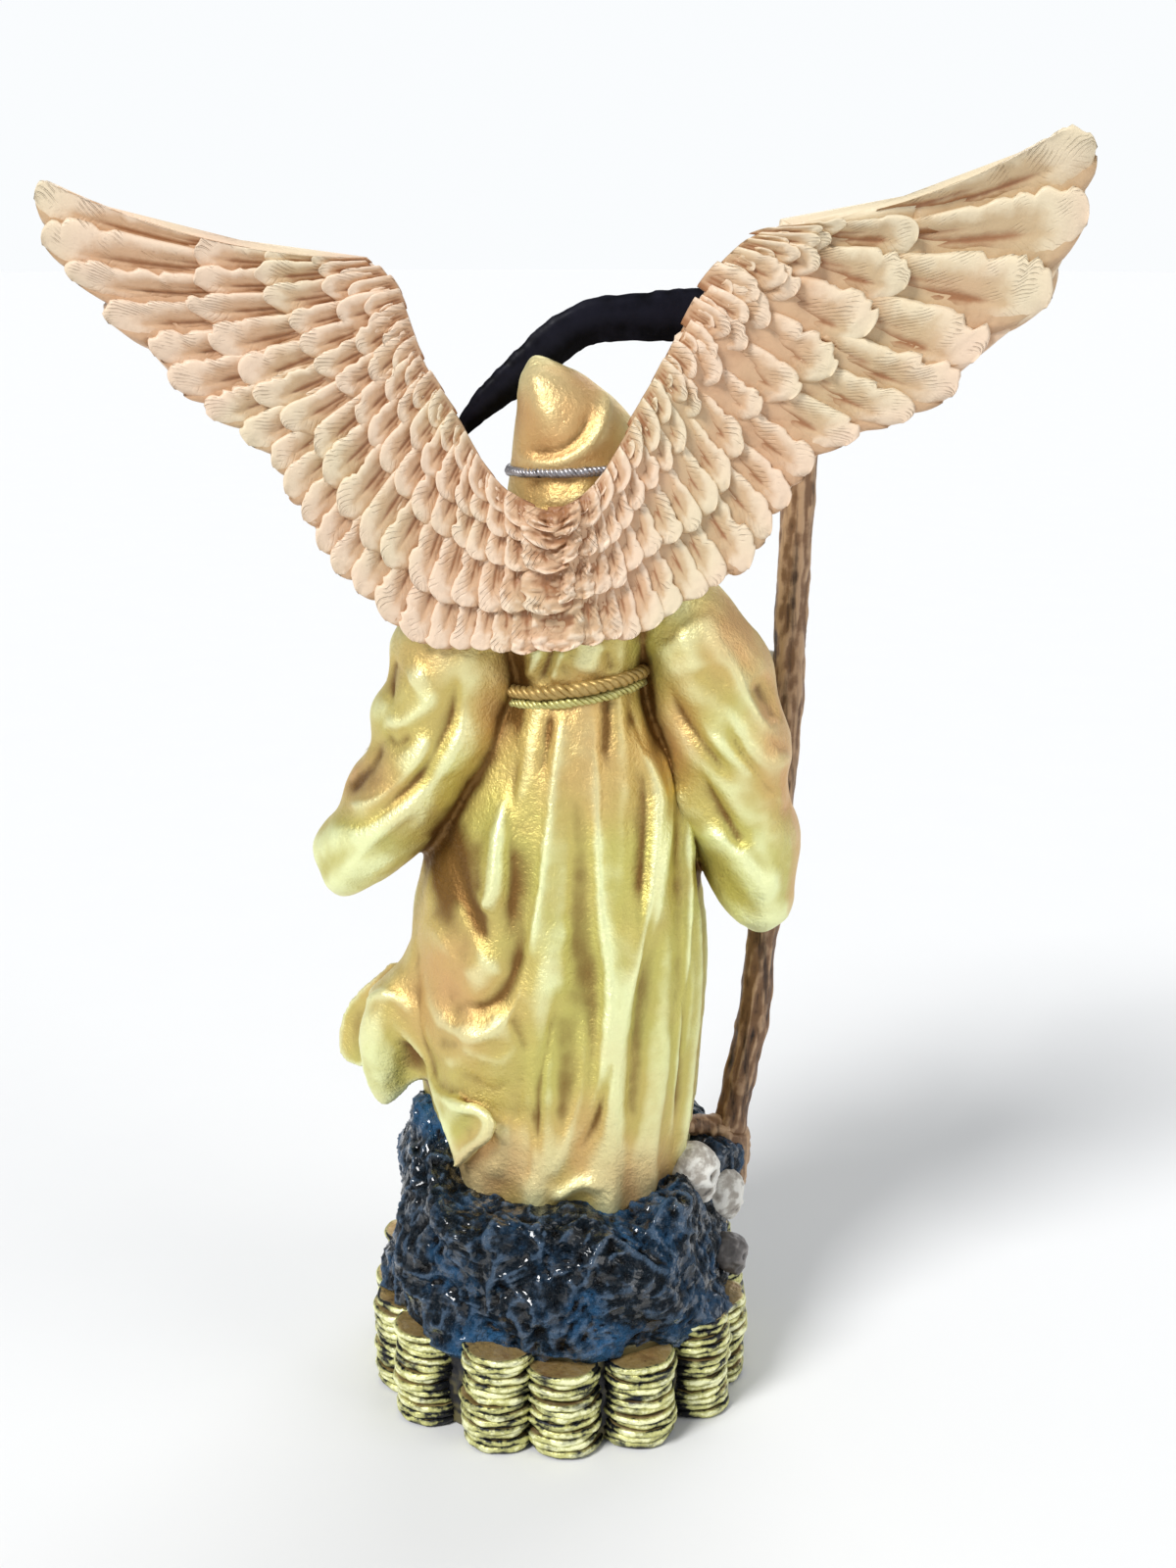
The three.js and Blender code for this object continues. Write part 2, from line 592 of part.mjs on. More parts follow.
// The wings, left and right in one piece, or with a gap the room that the figure leaves for them.
function wings(gap) {
  const spare = gap / figureScale;
  const step = FEATHER_STEP / figureScale;
  const thick = WING_THICKNESS / figureScale;
  const top = thick + FEATHER_ROWS.length * step;
  const side = (points, feathers, reach, sweepBack) => ({
    arm: new THREE.SplineCurve(points.map(([inner]) => new THREE.Vector2(...inner))),
    tips: new THREE.SplineCurve(points.map(([, outer]) => new THREE.Vector2(...outer))),
    columns: feathers * FEATHER_COLUMNS,
    stretch: reach / figureScale / Math.max(...points.map(([, outer]) => outer[0])),
    sweepBack,
  });
  const left = side(LEFT_FAN, LEFT_FEATHERS, LEFT_WING_REACH, LEFT_SWEEP);
  const right = side(RIGHT_FAN, RIGHT_FEATHERS, -RIGHT_WING_REACH, RIGHT_SWEEP);
  const rings = Array.from({ length: left.columns + right.columns + 1 }, (_, r) => {
    const notch = (row) => ((r + 2 * row) % FEATHER_COLUMNS === 0 ? 1 : 0);
    const rowTips = FEATHER_ROWS.flatMap((share, row) => {
      const under = thick + (FEATHER_ROWS.length - 1 - row) * step;
      const end = share - NOTCH_LENGTH * notch(row);
      const before = under + step * (1 - 0.5 * notch(row));
      return [[end, before], [end + 0.012, under - 0.5 * step * notch(row + 1)]];
    });
    const end = 1 - NOTCH_LENGTH * notch(FEATHER_ROWS.length);
    return [
      [0, top * 0.6],
      [0.07, top],
      ...rowTips,
      [end, thick * 0.7],
      [end, 0],
      [0, 0],
    ].map(([f, height]) => new THREE.Vector2(f, height > 0 ? height + spare : -spare));
  });
  return sweep(rings, (point, r) => {
    const wing = r < left.columns ? left : right;
    const s = Math.abs(r - left.columns) / wing.columns;
    const f = point.x + 0.02 * spare * Math.sign(point.x - 0.5);
    const line = wing.arm.getPoint(s).lerp(wing.tips.getPoint(s), f);
    const droop = FEATHER_DROOP * f * (1 - f) * s * s;
    const y = WING_SEAT + wing.sweepBack * s * s * (0.4 + 0.6 * f) + point.y;
    return new THREE.Vector3(wing.stretch * line.x, y, line.y - droop);
  });
}

// A drawn form at its real size, standing on the rock.
const placed = (drawn) => drawn.scale([figureScale, figureScale, figureScale]).translate([0, 0, ROCK_HEIGHT]);

const figure = fuse([
  robe(),
  windblownHem(),
  hood(),
  drapedSleeve(LEFT_SLEEVE, LEFT_FOLDS).subtract(ellipsoid(LEFT_MOUTH, 10, 8)),
  drapedSleeve(RIGHT_SLEEVE, RIGHT_FOLDS).subtract(ellipsoid(RIGHT_MOUTH, 10, 8)),
  leftHand(),
  rightFist(),
  rootStub(),
]);
const casting = fuse([placed(figure), coinRing(), rock(), ...SMALL_SKULLS.map(smallSkull)])
  .subtract(placed(scythe(GLUE_GAP)))
  .subtract(placed(wings(GLUE_GAP)));

const statuette = new THREE.Group();
statuette.add(
  toMesh("figure_and_base", casting, 0xc9a24a, 0.4, 0.6),
  toMesh("wings", placed(wings(0)), 0xe3c4a6, 0.6, 0),
  toMesh("scythe", placed(scythe(0)), 0x6b4a2c, 0.6, 0),
);

export default statuette;
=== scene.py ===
"""The dressed figure: a hooded skeleton in a gold robe, with wings and a scythe, on a black rock in a ring of coins.

Shapes are worked out in millimetres, with z up and the figure looking along -Y, and become metres when a mesh is
made. A "drawn" height is measured from the top of the rock.
"""

import logging
import math
from dataclasses import dataclass, field
from enum import Enum

import bpy
import numpy as np
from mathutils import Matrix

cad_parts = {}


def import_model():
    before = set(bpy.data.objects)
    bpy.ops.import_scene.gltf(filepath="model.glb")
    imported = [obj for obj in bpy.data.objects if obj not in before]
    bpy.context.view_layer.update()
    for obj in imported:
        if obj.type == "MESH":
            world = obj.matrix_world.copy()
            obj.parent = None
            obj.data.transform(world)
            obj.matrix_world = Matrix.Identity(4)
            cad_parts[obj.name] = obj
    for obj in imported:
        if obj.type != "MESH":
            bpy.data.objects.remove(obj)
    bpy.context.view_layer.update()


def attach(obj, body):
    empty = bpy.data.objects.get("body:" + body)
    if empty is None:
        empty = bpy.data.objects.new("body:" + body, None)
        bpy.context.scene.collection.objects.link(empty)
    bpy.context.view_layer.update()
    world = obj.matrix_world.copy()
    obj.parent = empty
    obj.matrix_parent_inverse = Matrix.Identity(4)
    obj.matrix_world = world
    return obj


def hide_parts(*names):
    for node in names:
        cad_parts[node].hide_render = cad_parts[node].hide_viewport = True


Array = np.ndarray
Points = list[tuple[float, ...]]
Triple = tuple[float, float, float]
Socket = bpy.types.NodeSocket

LOG = logging.getLogger("figure")
MM = 0.001
ROCK_TOP = 56.0
COIN_HEIGHT = 25.0
BASE_WIDTH = 92.0
BASE_DEPTH = 98.0
OVAL_POWER = 2.3
TURN = 2 * math.pi


def rows_field(rows: Points) -> Points:
    """A dataclass field whose default is a table of rows."""
    return field(default_factory=lambda: list(rows))


def ramp(at: Array, low: float, high: float) -> Array:
    """A step 3t^2 - 2t^3 that rises from 0 at low to 1 at high, or falls where high is the lower."""
    t = np.clip((at - low) / (high - low), 0, 1)
    return t * t * (3 - 2 * t)


def bump(distance: Array, width: Array | float) -> Array:
    """A bell exp(-(distance / width)^2)."""
    return np.exp(-((distance / width) ** 2))


def each(values: Array) -> Array:
    """One value for each feather or coin, shaped to spread over the grid of each."""
    return values[:, None, None]


def turn_between(a: Array, b: Array | float) -> Array:
    """The shortest turn from angle b to angle a, in radians."""
    return np.arctan2(np.sin(a - b), np.cos(a - b))


def around(count: int) -> Array:
    """Angles evenly round a full turn."""
    return np.arange(count) / count * TURN


def grid_of(down: Array, across: Array) -> list[Array]:
    """Two parameters as whole grids, the first changing down the rows and the second across them."""
    return np.meshgrid(down, across, indexing="ij")


def coordinates(*axes: Array | float) -> Array:
    """Places from an array for each axis, all spread over one grid."""
    return np.stack(np.broadcast_arrays(*axes), -1)


def ringed(reach: Array | float, angle: Array, z: Array | float) -> Array:
    """Places (reach cos a, reach sin a, z)."""
    return coordinates(reach * np.cos(angle), reach * np.sin(angle), z)


def through(stations: Points | Array, at: Array) -> Array:
    """Smooth values through stations: a cubic Hermite curve whose slopes are those between the neighbours.

    Args:
        stations: rows of (t, value, value, ...), with t rising.
        at: where to read the curve, held to the first and last t.

    Returns:
        The values, with one more axis than at.
    """
    table = np.asarray(stations, float)
    t, v = table[:, 0], table[:, 1:]
    last = len(t) - 1
    before, after = np.maximum(np.arange(last + 1) - 1, 0), np.minimum(np.arange(last + 1) + 1, last)
    slope = (v[after] - v[before]) / (t[after] - t[before])[:, None]
    x = np.clip(at, t[0], t[-1])
    i = np.clip(np.searchsorted(t, x, side="right") - 1, 0, last - 1)
    span = (t[i + 1] - t[i])[..., None]
    u = (x - t[i])[..., None] / span
    start = (2 * u**3 - 3 * u**2 + 1) * v[i] + (u**3 - 2 * u**2 + u) * span * slope[i]
    return start + (3 * u**2 - 2 * u**3) * v[i + 1] + (u**3 - u**2) * span * slope[i + 1]


def along(stops: Points | Array, at: Array) -> Array:
    """The curve through evenly numbered stops, with at running from 0 to 1 over all of them."""
    rows = np.asarray(stops, float)
    return through(np.column_stack([np.linspace(0, 1, len(rows)), rows]), at)


def unit(vectors: Array) -> Array:
    """Vectors divided by their lengths."""
    return vectors / np.maximum(np.linalg.norm(vectors, axis=-1, keepdims=True), 1e-9)


class Lattice:
    """Seeded random values at the corners of a cubic lattice, blended smoothly between them."""

    SIZE = 4096

    def __init__(self, seed: int) -> None:
        """Draws the table of corner values from a seeded generator."""
        self.table = np.random.default_rng(seed).uniform(-1, 1, self.SIZE)

    def at(self, points: Array, size: float | Triple) -> Array:
        """Values in -1..1 for cells of one size: the eight corners weighted by 6t^5 - 15t^4 + 10t^3 on each axis."""
        place = points / np.asarray(size)
        cell = np.floor(place).astype(np.int64)
        t = place - cell
        t = t * t * t * (t * (6 * t - 15) + 10)
        total = np.zeros(points.shape[:-1])
        for corner in np.ndindex(2, 2, 2):
            x, y, z = np.moveaxis(cell + corner, -1, 0)
            key = (x * 73856093 ^ y * 19349663 ^ z * 83492791) & (self.SIZE - 1)
            total += self.table[key] * np.prod(np.where(corner, t, 1 - t), axis=-1)
        return total

    def layered(self, points: Array, size: float, layers: int = 3) -> Array:
        """The sum of layers, each half the size and half the strength of the one before."""
        return sum(self.at(points + 37.0 * k, size / 2**k) / 2**k for k in range(layers))

    def ridged(self, points: Array, size: float, layers: int = 3) -> Array:
        """Creased layers 1 - 2|value|, which stand up in thin ridges."""
        return sum((1 - 2 * np.abs(self.at(points + 53.0 * k, size / 2**k))) / 2**k for k in range(layers))


NOISE = Lattice(41)


@dataclass
class Surface:
    """A surface as plain arrays: points in millimetres, groups of faces, and values kept at the points."""

    points: Array
    faces: list[Array]
    values: dict[str, Array] = field(default_factory=dict)
    uv: Array | None = None

    @classmethod
    def lofts(cls, grids: Array, values: dict[str, Array] | None = None, uv: Array | None = None) -> "Surface":
        """Closed solids from grids of rings: quads between the rings, and a fan to the middle of each end ring.

        Args:
            grids: places shaped (solid, ring, column, 3), or (ring, column, 3) for one solid.
            values: numbers shaped as grids without the last axis.
            uv: pairs shaped (solid, ring, column, 2).

        Returns:
            One surface with every solid in it, its faces turned outwards.
        """
        grids = grids if grids.ndim == 4 else grids[None]
        count, rows, columns = grids.shape[:3]
        ends = grids[:, [0, -1]].mean(axis=2)
        points = np.concatenate([grids.reshape(count, -1, 3), ends], axis=1)
        ring, column = grid_of(np.arange(rows - 1), np.arange(columns))
        beside = (column + 1) % columns
        quads = np.stack([ring * columns + column, ring * columns + beside], -1)
        quads = np.concatenate([quads, quads[..., ::-1] + columns], -1).reshape(-1, 4)
        turn, following = np.arange(columns), (np.arange(columns) + 1) % columns
        top = (rows - 1) * columns
        low = np.stack([np.full(columns, rows * columns), following, turn], -1)
        high = np.stack([np.full(columns, rows * columns + 1), turn + top, following + top], -1)
        offsets = (np.arange(count) * points.shape[1])[:, None, None]
        faces = [(offsets + quads).reshape(-1, 4), (offsets + np.concatenate([low, high])).reshape(-1, 3)]

        def spread(grid: Array) -> Array:
            """Values of the grid and of its two end points, in the order of the points."""
            flat = grid.reshape(count, rows * columns, -1)
            poles = grid.reshape(count, rows, columns, -1)[:, [0, -1]].mean(axis=2)
            return np.concatenate([flat, poles], axis=1).reshape(-1, flat.shape[-1])

        kept = {name: spread(value)[:, 0] for name, value in (values or {}).items()}
        made = cls(points.reshape(-1, 3), faces, kept, None if uv is None else spread(uv))
        return made.turned_out()

    @classmethod
    def joined(cls, parts: list["Surface"]) -> "Surface":
        """Several surfaces as one, keeping the values that all of them have."""
        starts = np.cumsum([0] + [len(part.points) for part in parts])
        faces = [face + start for part, start in zip(parts, starts) for face in part.faces]
        names = set.intersection(*(set(part.values) for part in parts))
        values = {name: np.concatenate([part.values[name] for part in parts]) for name in sorted(names)}
        uv = None if any(part.uv is None for part in parts) else np.concatenate([part.uv for part in parts])
        return cls(np.concatenate([part.points for part in parts]), faces, values, uv)

    def triangles(self) -> Array:
        """All faces as triangles, each quad cut from its first corner."""
        cut = [face if face.shape[1] == 3 else np.concatenate([face[:, :3], face[:, [0, 2, 3]]]) for face in self.faces]
        return np.concatenate(cut)

    def turned_out(self) -> "Surface":
        """The surface with its faces turned outwards, judged by the sign of its volume."""
        a, b, c = (self.points[corner] for corner in self.triangles().T)
        if np.einsum("ij,ij->", a, np.cross(b, c)) < 0:
            self.faces = [face[:, ::-1] for face in self.faces]
        return self

    def normals(self) -> Array:
        """Normals at the points: the sum of the crossed edges of the triangles round each."""
        triangles = self.triangles()
        a, b, c = (self.points[corner] for corner in triangles.T)
        face = np.cross(b - a, c - a)
        total = np.zeros_like(self.points)
        for axis in range(3):
            for corner in triangles.T:
                total[:, axis] += np.bincount(corner, face[:, axis], len(self.points))
        return unit(total)

    def smoothed(self, times: int, share: float = 0.5) -> Array:
        """The points after each has moved a share of the way to the mean of its neighbours, several times."""
        edges = np.concatenate([np.stack([face, np.roll(face, -1, axis=1)], -1).reshape(-1, 2) for face in self.faces])
        near, far = np.concatenate([edges, edges[:, ::-1]]).T
        weight = np.maximum(np.bincount(near, minlength=len(self.points)), 1)
        points = self.points.copy()
        for _ in range(times):
            mean = np.stack([np.bincount(near, points[far, axis], len(points)) / weight for axis in range(3)], -1)
            points += share * (mean - points)
        return points

    def mark_relief(self, times: int, depth: float) -> "Surface":
        """Keeps at each point how far it stands above (+) or below (-) the surface smoothed all round it.

        Args:
            times: rounds of smoothing, more for broader forms.
            depth: millimetres that count as 1.

        Returns:
            This surface, with the heights kept as "relief".
        """
        raised = np.einsum("ij,ij->i", self.points - self.smoothed(times), self.normals())
        self.values["relief"] = np.clip(raised / depth, -1, 1)
        return self

    def made(self, name: str) -> bpy.types.Object:
        """A smooth-shaded Blender object at the origin, in metres, with the values as attributes."""
        mesh = bpy.data.meshes.new(name)
        mesh.vertices.add(len(self.points))
        mesh.vertices.foreach_set("co", (self.points * MM).astype(np.float32).ravel())
        loops = np.concatenate([face.ravel() for face in self.faces])
        sizes = np.concatenate([np.full(len(face), face.shape[1]) for face in self.faces])
        mesh.loops.add(len(loops))
        mesh.loops.foreach_set("vertex_index", loops.astype(np.int32))
        mesh.polygons.add(len(sizes))
        mesh.polygons.foreach_set("loop_start", (np.cumsum(sizes) - sizes).astype(np.int32))
        mesh.polygons.foreach_set("use_smooth", np.ones(len(sizes), bool))
        if self.uv is not None:
            layer = mesh.uv_layers.new(name="fibre")
            layer.data.foreach_set("uv", self.uv[loops].astype(np.float32).ravel())
        mesh.update(calc_edges=True)
        for key, value in self.values.items():
            mesh.attributes.new(key, "FLOAT", "POINT").data.foreach_set("value", value.astype(np.float32))
        made = bpy.data.objects.new(name, mesh)
        bpy.context.scene.collection.objects.link(made)
        return made


def settled(made: bpy.types.Object) -> Surface:
    """The object's mesh after its modifiers, as a Surface. The object is removed."""
    seen = made.evaluated_get(bpy.context.evaluated_depsgraph_get())
    mesh = bpy.data.meshes.new_from_object(seen)
    points = np.empty(len(mesh.vertices) * 3, np.float32)
    mesh.vertices.foreach_get("co", points)
    loops = np.empty(len(mesh.loops), np.int32)
    mesh.loops.foreach_get("vertex_index", loops)
    sizes = np.empty(len(mesh.polygons), np.int32)
    mesh.polygons.foreach_get("loop_total", sizes)
    starts = np.cumsum(sizes) - sizes
    faces = [loops[starts[sizes == size, None] + np.arange(size)] for size in np.unique(sizes)]
    bpy.data.objects.remove(made)
    bpy.data.meshes.remove(mesh)
    return Surface(points.reshape(-1, 3).astype(float) / MM, faces)


def cut_away(solid: Surface, tool: Surface) -> Surface:
    """The solid without the room of the tool: an exact boolean difference."""
    made, knife = solid.made("solid"), tool.made("knife")
    cut = made.modifiers.new("cut", "BOOLEAN")
    cut.operation, cut.solver, cut.object = "DIFFERENCE", "EXACT", knife
    rest = settled(made)
    bpy.data.objects.remove(knife)
    return rest


def cast_in_one(parts: list[Surface], cell: float) -> Surface:
    """One skin round several overlapping solids, on a grid of cells."""
    made = Surface.joined([Surface(part.points, part.faces) for part in parts]).made("casting")
    skin = made.modifiers.new("skin", "REMESH")
    skin.mode, skin.voxel_size, skin.adaptivity = "VOXEL", cell * MM, 0.0
    return settled(made)


def ball(middle: Triple, half: Triple, size: int = 32) -> Surface:
    """An ellipsoid: middle + half x (cos a sin b, sin a sin b, -cos b)."""
    b, a = grid_of(np.linspace(0.04, math.pi - 0.04, size), around(2 * size))
    unit_ball = np.stack([np.cos(a) * np.sin(b), np.sin(a) * np.sin(b), -np.cos(b)], -1)
    return Surface.lofts(np.asarray(middle) + np.asarray(half) * unit_ball)


def tube(path: Array, radius: Array | float, columns: int, across: Triple = (1, 0, 0)) -> Surface:
    """A round bar: at each place of the path a ring radius x (side cos a + up sin a), square to the path.

    Args:
        path: places shaped (rings, 3).
        radius: one number, or one for each ring, or one for each ring and column.
        columns: points round each ring.
        across: a direction that the path never runs along.

    Returns:
        The closed bar.
    """
    ahead = unit(np.gradient(path, axis=0))
    side = unit(np.cross(np.asarray(across, float), ahead))
    up = np.cross(ahead, side)
    a = around(columns)
    reach = np.asarray(radius, float)
    reach = np.broadcast_to(reach[..., None] if reach.ndim == 1 else reach, (len(path), columns))
    ring = side[:, None] * np.cos(a)[:, None] + up[:, None] * np.sin(a)[:, None]
    return Surface.lofts(path[:, None] + reach[..., None] * ring)


def limb(stops: Points, columns: int, rings: int) -> Surface:
    """A round limb through stops (x, y, z, radius), with rounded ends."""
    t = np.linspace(0, 1, rings)
    line = along(stops, t)
    ends = np.sqrt(np.clip(1 - (np.abs(2 * t - 1)) ** 12, 0.03, 1))
    return tube(line[:, :3], line[:, 3] * ends, columns)


def drawn(points: Array) -> Array:
    """Places of the drawn figure, raised on to the rock."""
    return points + np.array([0, 0, ROCK_TOP])


def oval_reach(angle: Array | float, inset: Array | float) -> Array:
    """The base's outline: (|cos/a|^n + |sin/b|^n)^(-1/n), inset all round."""
    x = np.abs(np.cos(angle) / (BASE_WIDTH / 2 - inset)) ** OVAL_POWER
    y = np.abs(np.sin(angle) / (BASE_DEPTH / 2 - inset)) ** OVAL_POWER
    return (x + y) ** (-1 / OVAL_POWER)


@dataclass(frozen=True)
class PictureView:
    """The view from behind, looking down: the camera, and where a place falls in its 1200 x 1600 picture."""

    place: Triple = (-7.0, 460.0, 280.0)
    pitch: float = math.radians(15.9)
    focal: float = 2075.0
    width: float = 1200.0
    height: float = 1600.0
    sensor: float = 36.0

    def seen(self, points: Array) -> Array:
        """Picture places: focal x (right, down) / depth from the middle of the picture."""
        away = points - np.asarray(self.place)
        depth = -away[..., 1] * math.cos(self.pitch) - away[..., 2] * math.sin(self.pitch)
        up = away[..., 2] * math.cos(self.pitch) - away[..., 1] * math.sin(self.pitch)
        right = self.width / 2 - self.focal * away[..., 0] / depth
        return np.stack([right, self.height / 2 - self.focal * up / depth], -1)

    def carried(self, drawing: Points) -> Array:
        """Places in space: rows of (right, down, y, ...) carried along the view to their y. Further values are kept."""
        rows = np.asarray(drawing, float)
        across, rise = (self.width / 2 - rows[:, 0]) / self.focal, (self.height / 2 - rows[:, 1]) / self.focal
        depth = (self.place[1] - rows[:, 2]) / (math.cos(self.pitch) + rise * math.sin(self.pitch))
        x = self.place[0] + across * depth
        z = self.place[2] + depth * (rise * math.cos(self.pitch) - math.sin(self.pitch))
        return np.column_stack([x, rows[:, 2], z, rows[:, 3:]])

    def facing(self, points: Array, normals: Array) -> Array:
        """The cosine between each normal and the way to the camera."""
        return np.einsum("ij,ij->i", unit(np.asarray(self.place) - points), normals)

    def camera(self) -> None:
        """Makes the Blender camera of this view the scene's camera."""
        data = bpy.data.cameras.new("camera")
        data.lens = self.focal / self.height * self.sensor
        data.sensor_width = self.sensor
        data.clip_start, data.clip_end = 0.01, 20.0
        made = bpy.data.objects.new("camera", data)
        made.location = [value * MM for value in self.place]
        made.rotation_euler = (math.pi / 2 - self.pitch, 0, math.pi)
        bpy.context.scene.collection.objects.link(made)
        bpy.context.scene.camera = made


VIEW = PictureView()


@dataclass(frozen=True)
class Fold:
    """A fold (height above 0) or a crease (below 0) carved in the cloth's back.

    The line is drawn in the picture of the view from behind, and carried along the view on to the cloth.
    """

    path: Points
    width: float
    height: float
    crest: float = 0.34

    def lift(self, seen: Array) -> Array:
        """How far the fold raises each place: a broad bell and a narrow crest on it, fading at the line's ends.

        Args:
            seen: picture places shaped (points, 2).

        Returns:
            Millimetres along the normal, 0 away from the line.
        """
        line = along(self.path, np.linspace(0, 1, 8 * len(self.path)))
        start, step = line[:-1], np.diff(line, axis=0)
        reach = 4 * self.width
        low, high = line.min(axis=0) - reach, line.max(axis=0) + reach
        near = np.flatnonzero(((seen > low) & (seen < high)).all(axis=1))
        away = seen[near, None] - start
        share = np.clip(np.einsum("pkc,kc->pk", away, step) / np.einsum("kc,kc->k", step, step), 0, 1)
        distance = np.linalg.norm(away - share[..., None] * step, axis=-1)
        nearest = distance.argmin(axis=1)
        rows = np.arange(len(near))
        t = (nearest + share[rows, nearest]) / len(step)
        fade = ramp(t, -0.03, 0.25) * ramp(t, 1.03, 0.75)
        lift = np.zeros(len(seen))
        away = distance[rows, nearest]
        bell = (1 - self.crest) * bump(away, 1.8 * self.width) + self.crest * bump(away, 0.55 * self.width)
        lift[near] = self.height * bell * fade
        return lift


class Graph:
    """A short way to write a node tree."""

    def __init__(self, tree: bpy.types.NodeTree) -> None:
        """Starts on an empty tree."""
        self.tree = tree
        tree.nodes.clear()

    def node(self, kind: str, inputs: dict | None = None, **settings: object) -> bpy.types.Node:
        """A node of a kind, with its settings, and its inputs set to values or linked to other nodes' outputs."""
        made = self.tree.nodes.new("ShaderNode" + kind)
        for key, value in settings.items():
            setattr(made, key, value)
        for key, value in (inputs or {}).items():
            if isinstance(value, Socket):
                self.tree.links.new(value, made.inputs[key])
            else:
                made.inputs[key].default_value = value
        return made

    def maths(self, operation: str, a: object, b: object = 0.0, clamp: bool = False) -> Socket:
        """One arithmetic step on two numbers."""
        return self.node("Math", {0: a, 1: b}, operation=operation, use_clamp=clamp).outputs[0]

    def times(self, a: object, b: object) -> Socket:
        """The product of two numbers."""
        return self.maths("MULTIPLY", a, b)

    def mix(self, share: object, a: object, b: object) -> Socket:
        """A colour between a and b."""
        return self.node("Mix", {0: share, 6: rgba(a), 7: rgba(b)}, data_type="RGBA").outputs[2]

    def ranged(self, value: object, low: float, high: float, start: float = 0.0, end: float = 1.0) -> Socket:
        """Value mapped smoothly from low..high to start..end, and held there."""
        inputs = {"Value": value, "From Min": low, "From Max": high, "To Min": start, "To Max": end}
        return self.node("MapRange", inputs, interpolation_type="SMOOTHSTEP").outputs[0]

    def noise(self, place: object, scale: float, detail: float = 3.0, rough: float = 0.55) -> Socket:
        """Blender's noise at a place, as a value."""
        inputs = {"Vector": place, "Scale": scale, "Detail": detail, "Roughness": rough}
        return self.node("TexNoise", inputs).outputs[0]

    def attribute(self, name: str) -> Socket:
        """A value kept at the mesh's points."""
        return self.node("Attribute", attribute_name=name).outputs["Fac"]

    def object_place(self, stretch: Triple = (1, 1, 1)) -> Socket:
        """Object coordinates, each axis multiplied by its stretch."""
        place = self.node("TexCoord").outputs["Object"]
        return self.node("Mapping", {"Vector": place, "Scale": stretch}).outputs[0]


def rgba(colour: object) -> object:
    """A colour of three numbers with full alpha added. Anything else is returned as it is."""
    return (*colour, 1.0) if isinstance(colour, tuple) and len(colour) == 3 else colour


class Effect(Enum):
    """The effects that several finishes share, each a node group that is built once."""

    PAINT_WEAR = "paint_wear"
    CAST_GRAIN = "cast_grain"

    def group(self) -> bpy.types.NodeTree:
        """The effect's node group."""
        ready = bpy.data.node_groups.get(self.value)
        return ready or {Effect.PAINT_WEAR: paint_wear, Effect.CAST_GRAIN: cast_grain}[self](self.value)


def new_group(name: str, inputs: dict[str, object], output: str, kind: str) -> tuple[Graph, dict, bpy.types.Node]:
    """An empty node group with its sockets.

    Args:
        name: the group's name.
        inputs: each input's default: a number, or a colour of three numbers.
        output: the output's name.
        kind: the output's socket type.

    Returns:
        The graph, the input sockets by name, and the output node.
    """
    tree = bpy.data.node_groups.new(name, "ShaderNodeTree")
    for key, value in inputs.items():
        taken = "NodeSocketColor" if isinstance(value, tuple) else "NodeSocketFloat"
        tree.interface.new_socket(key, in_out="INPUT", socket_type=taken).default_value = rgba(value)
    tree.interface.new_socket(output, in_out="OUTPUT", socket_type=kind)
    graph = Graph(tree)
    source, sink = tree.nodes.new("NodeGroupInput"), tree.nodes.new("NodeGroupOutput")
    return graph, {socket.name: socket for socket in source.outputs if socket.name}, sink


HOLLOWS = (0.0, -0.75)
RIDGES = (0.05, 0.7)


def paint_wear(name: str) -> bpy.types.NodeTree:
    """Paint darkened in the hollows as painted shade, and lightened on the ridges as painted highlight and rubbed wear,
    with a broken edge between.

    The relief plus (noise - 1/2) x break mixes in the sunken colour (painted shade) over HOLLOWS and the raised
    one (painted highlight) over RIDGES.
    """
    inputs = {
        "Relief": 0.0,
        "Base": (0.5, 0.5, 0.5),
        "Raised": (0.8, 0.8, 0.8),
        "Sunken": (0.1, 0.1, 0.1),
        "Scale": 200.0,
        "Break": 0.3,
    }
    graph, taken, sink = new_group(name, inputs, "Color", "NodeSocketColor")
    patches = graph.noise(graph.object_place(), 1.0, 4.0, 0.6)
    graph.tree.links.new(taken["Scale"], patches.node.inputs["Scale"])
    broken = graph.times(graph.maths("SUBTRACT", patches, 0.5), taken["Break"])
    height = graph.maths("ADD", taken["Relief"], broken)
    # Painted shade in the hollows, then painted highlight and rubbed wear on the ridges.
    hollow = graph.mix(graph.ranged(height, *HOLLOWS), taken["Base"], taken["Sunken"])
    shaded_and_worn = graph.mix(graph.ranged(height, *RIDGES), hollow, taken["Raised"])
    graph.tree.links.new(shaded_and_worn, sink.inputs["Color"])
    return graph.tree


def cast_grain(name: str) -> bpy.types.NodeTree:
    """The fine uneven skin of a cast and brushed surface, as a height: fine noise plus coarse x a broader noise."""
    graph, taken, sink = new_group(name, {"Scale": 900.0, "Coarse": 0.5}, "Height", "NodeSocketFloat")
    place = graph.object_place()
    fine = graph.noise(place, 1.0, 3.0, 0.65)
    graph.tree.links.new(taken["Scale"], fine.node.inputs["Scale"])
    broad = graph.noise(place, 1.0, 2.0, 0.5)
    graph.tree.links.new(graph.times(taken["Scale"], 0.22), broad.node.inputs["Scale"])
    height = graph.maths("ADD", fine, graph.times(broad, taken["Coarse"]))
    graph.tree.links.new(height, sink.inputs["Height"])
    return graph.tree


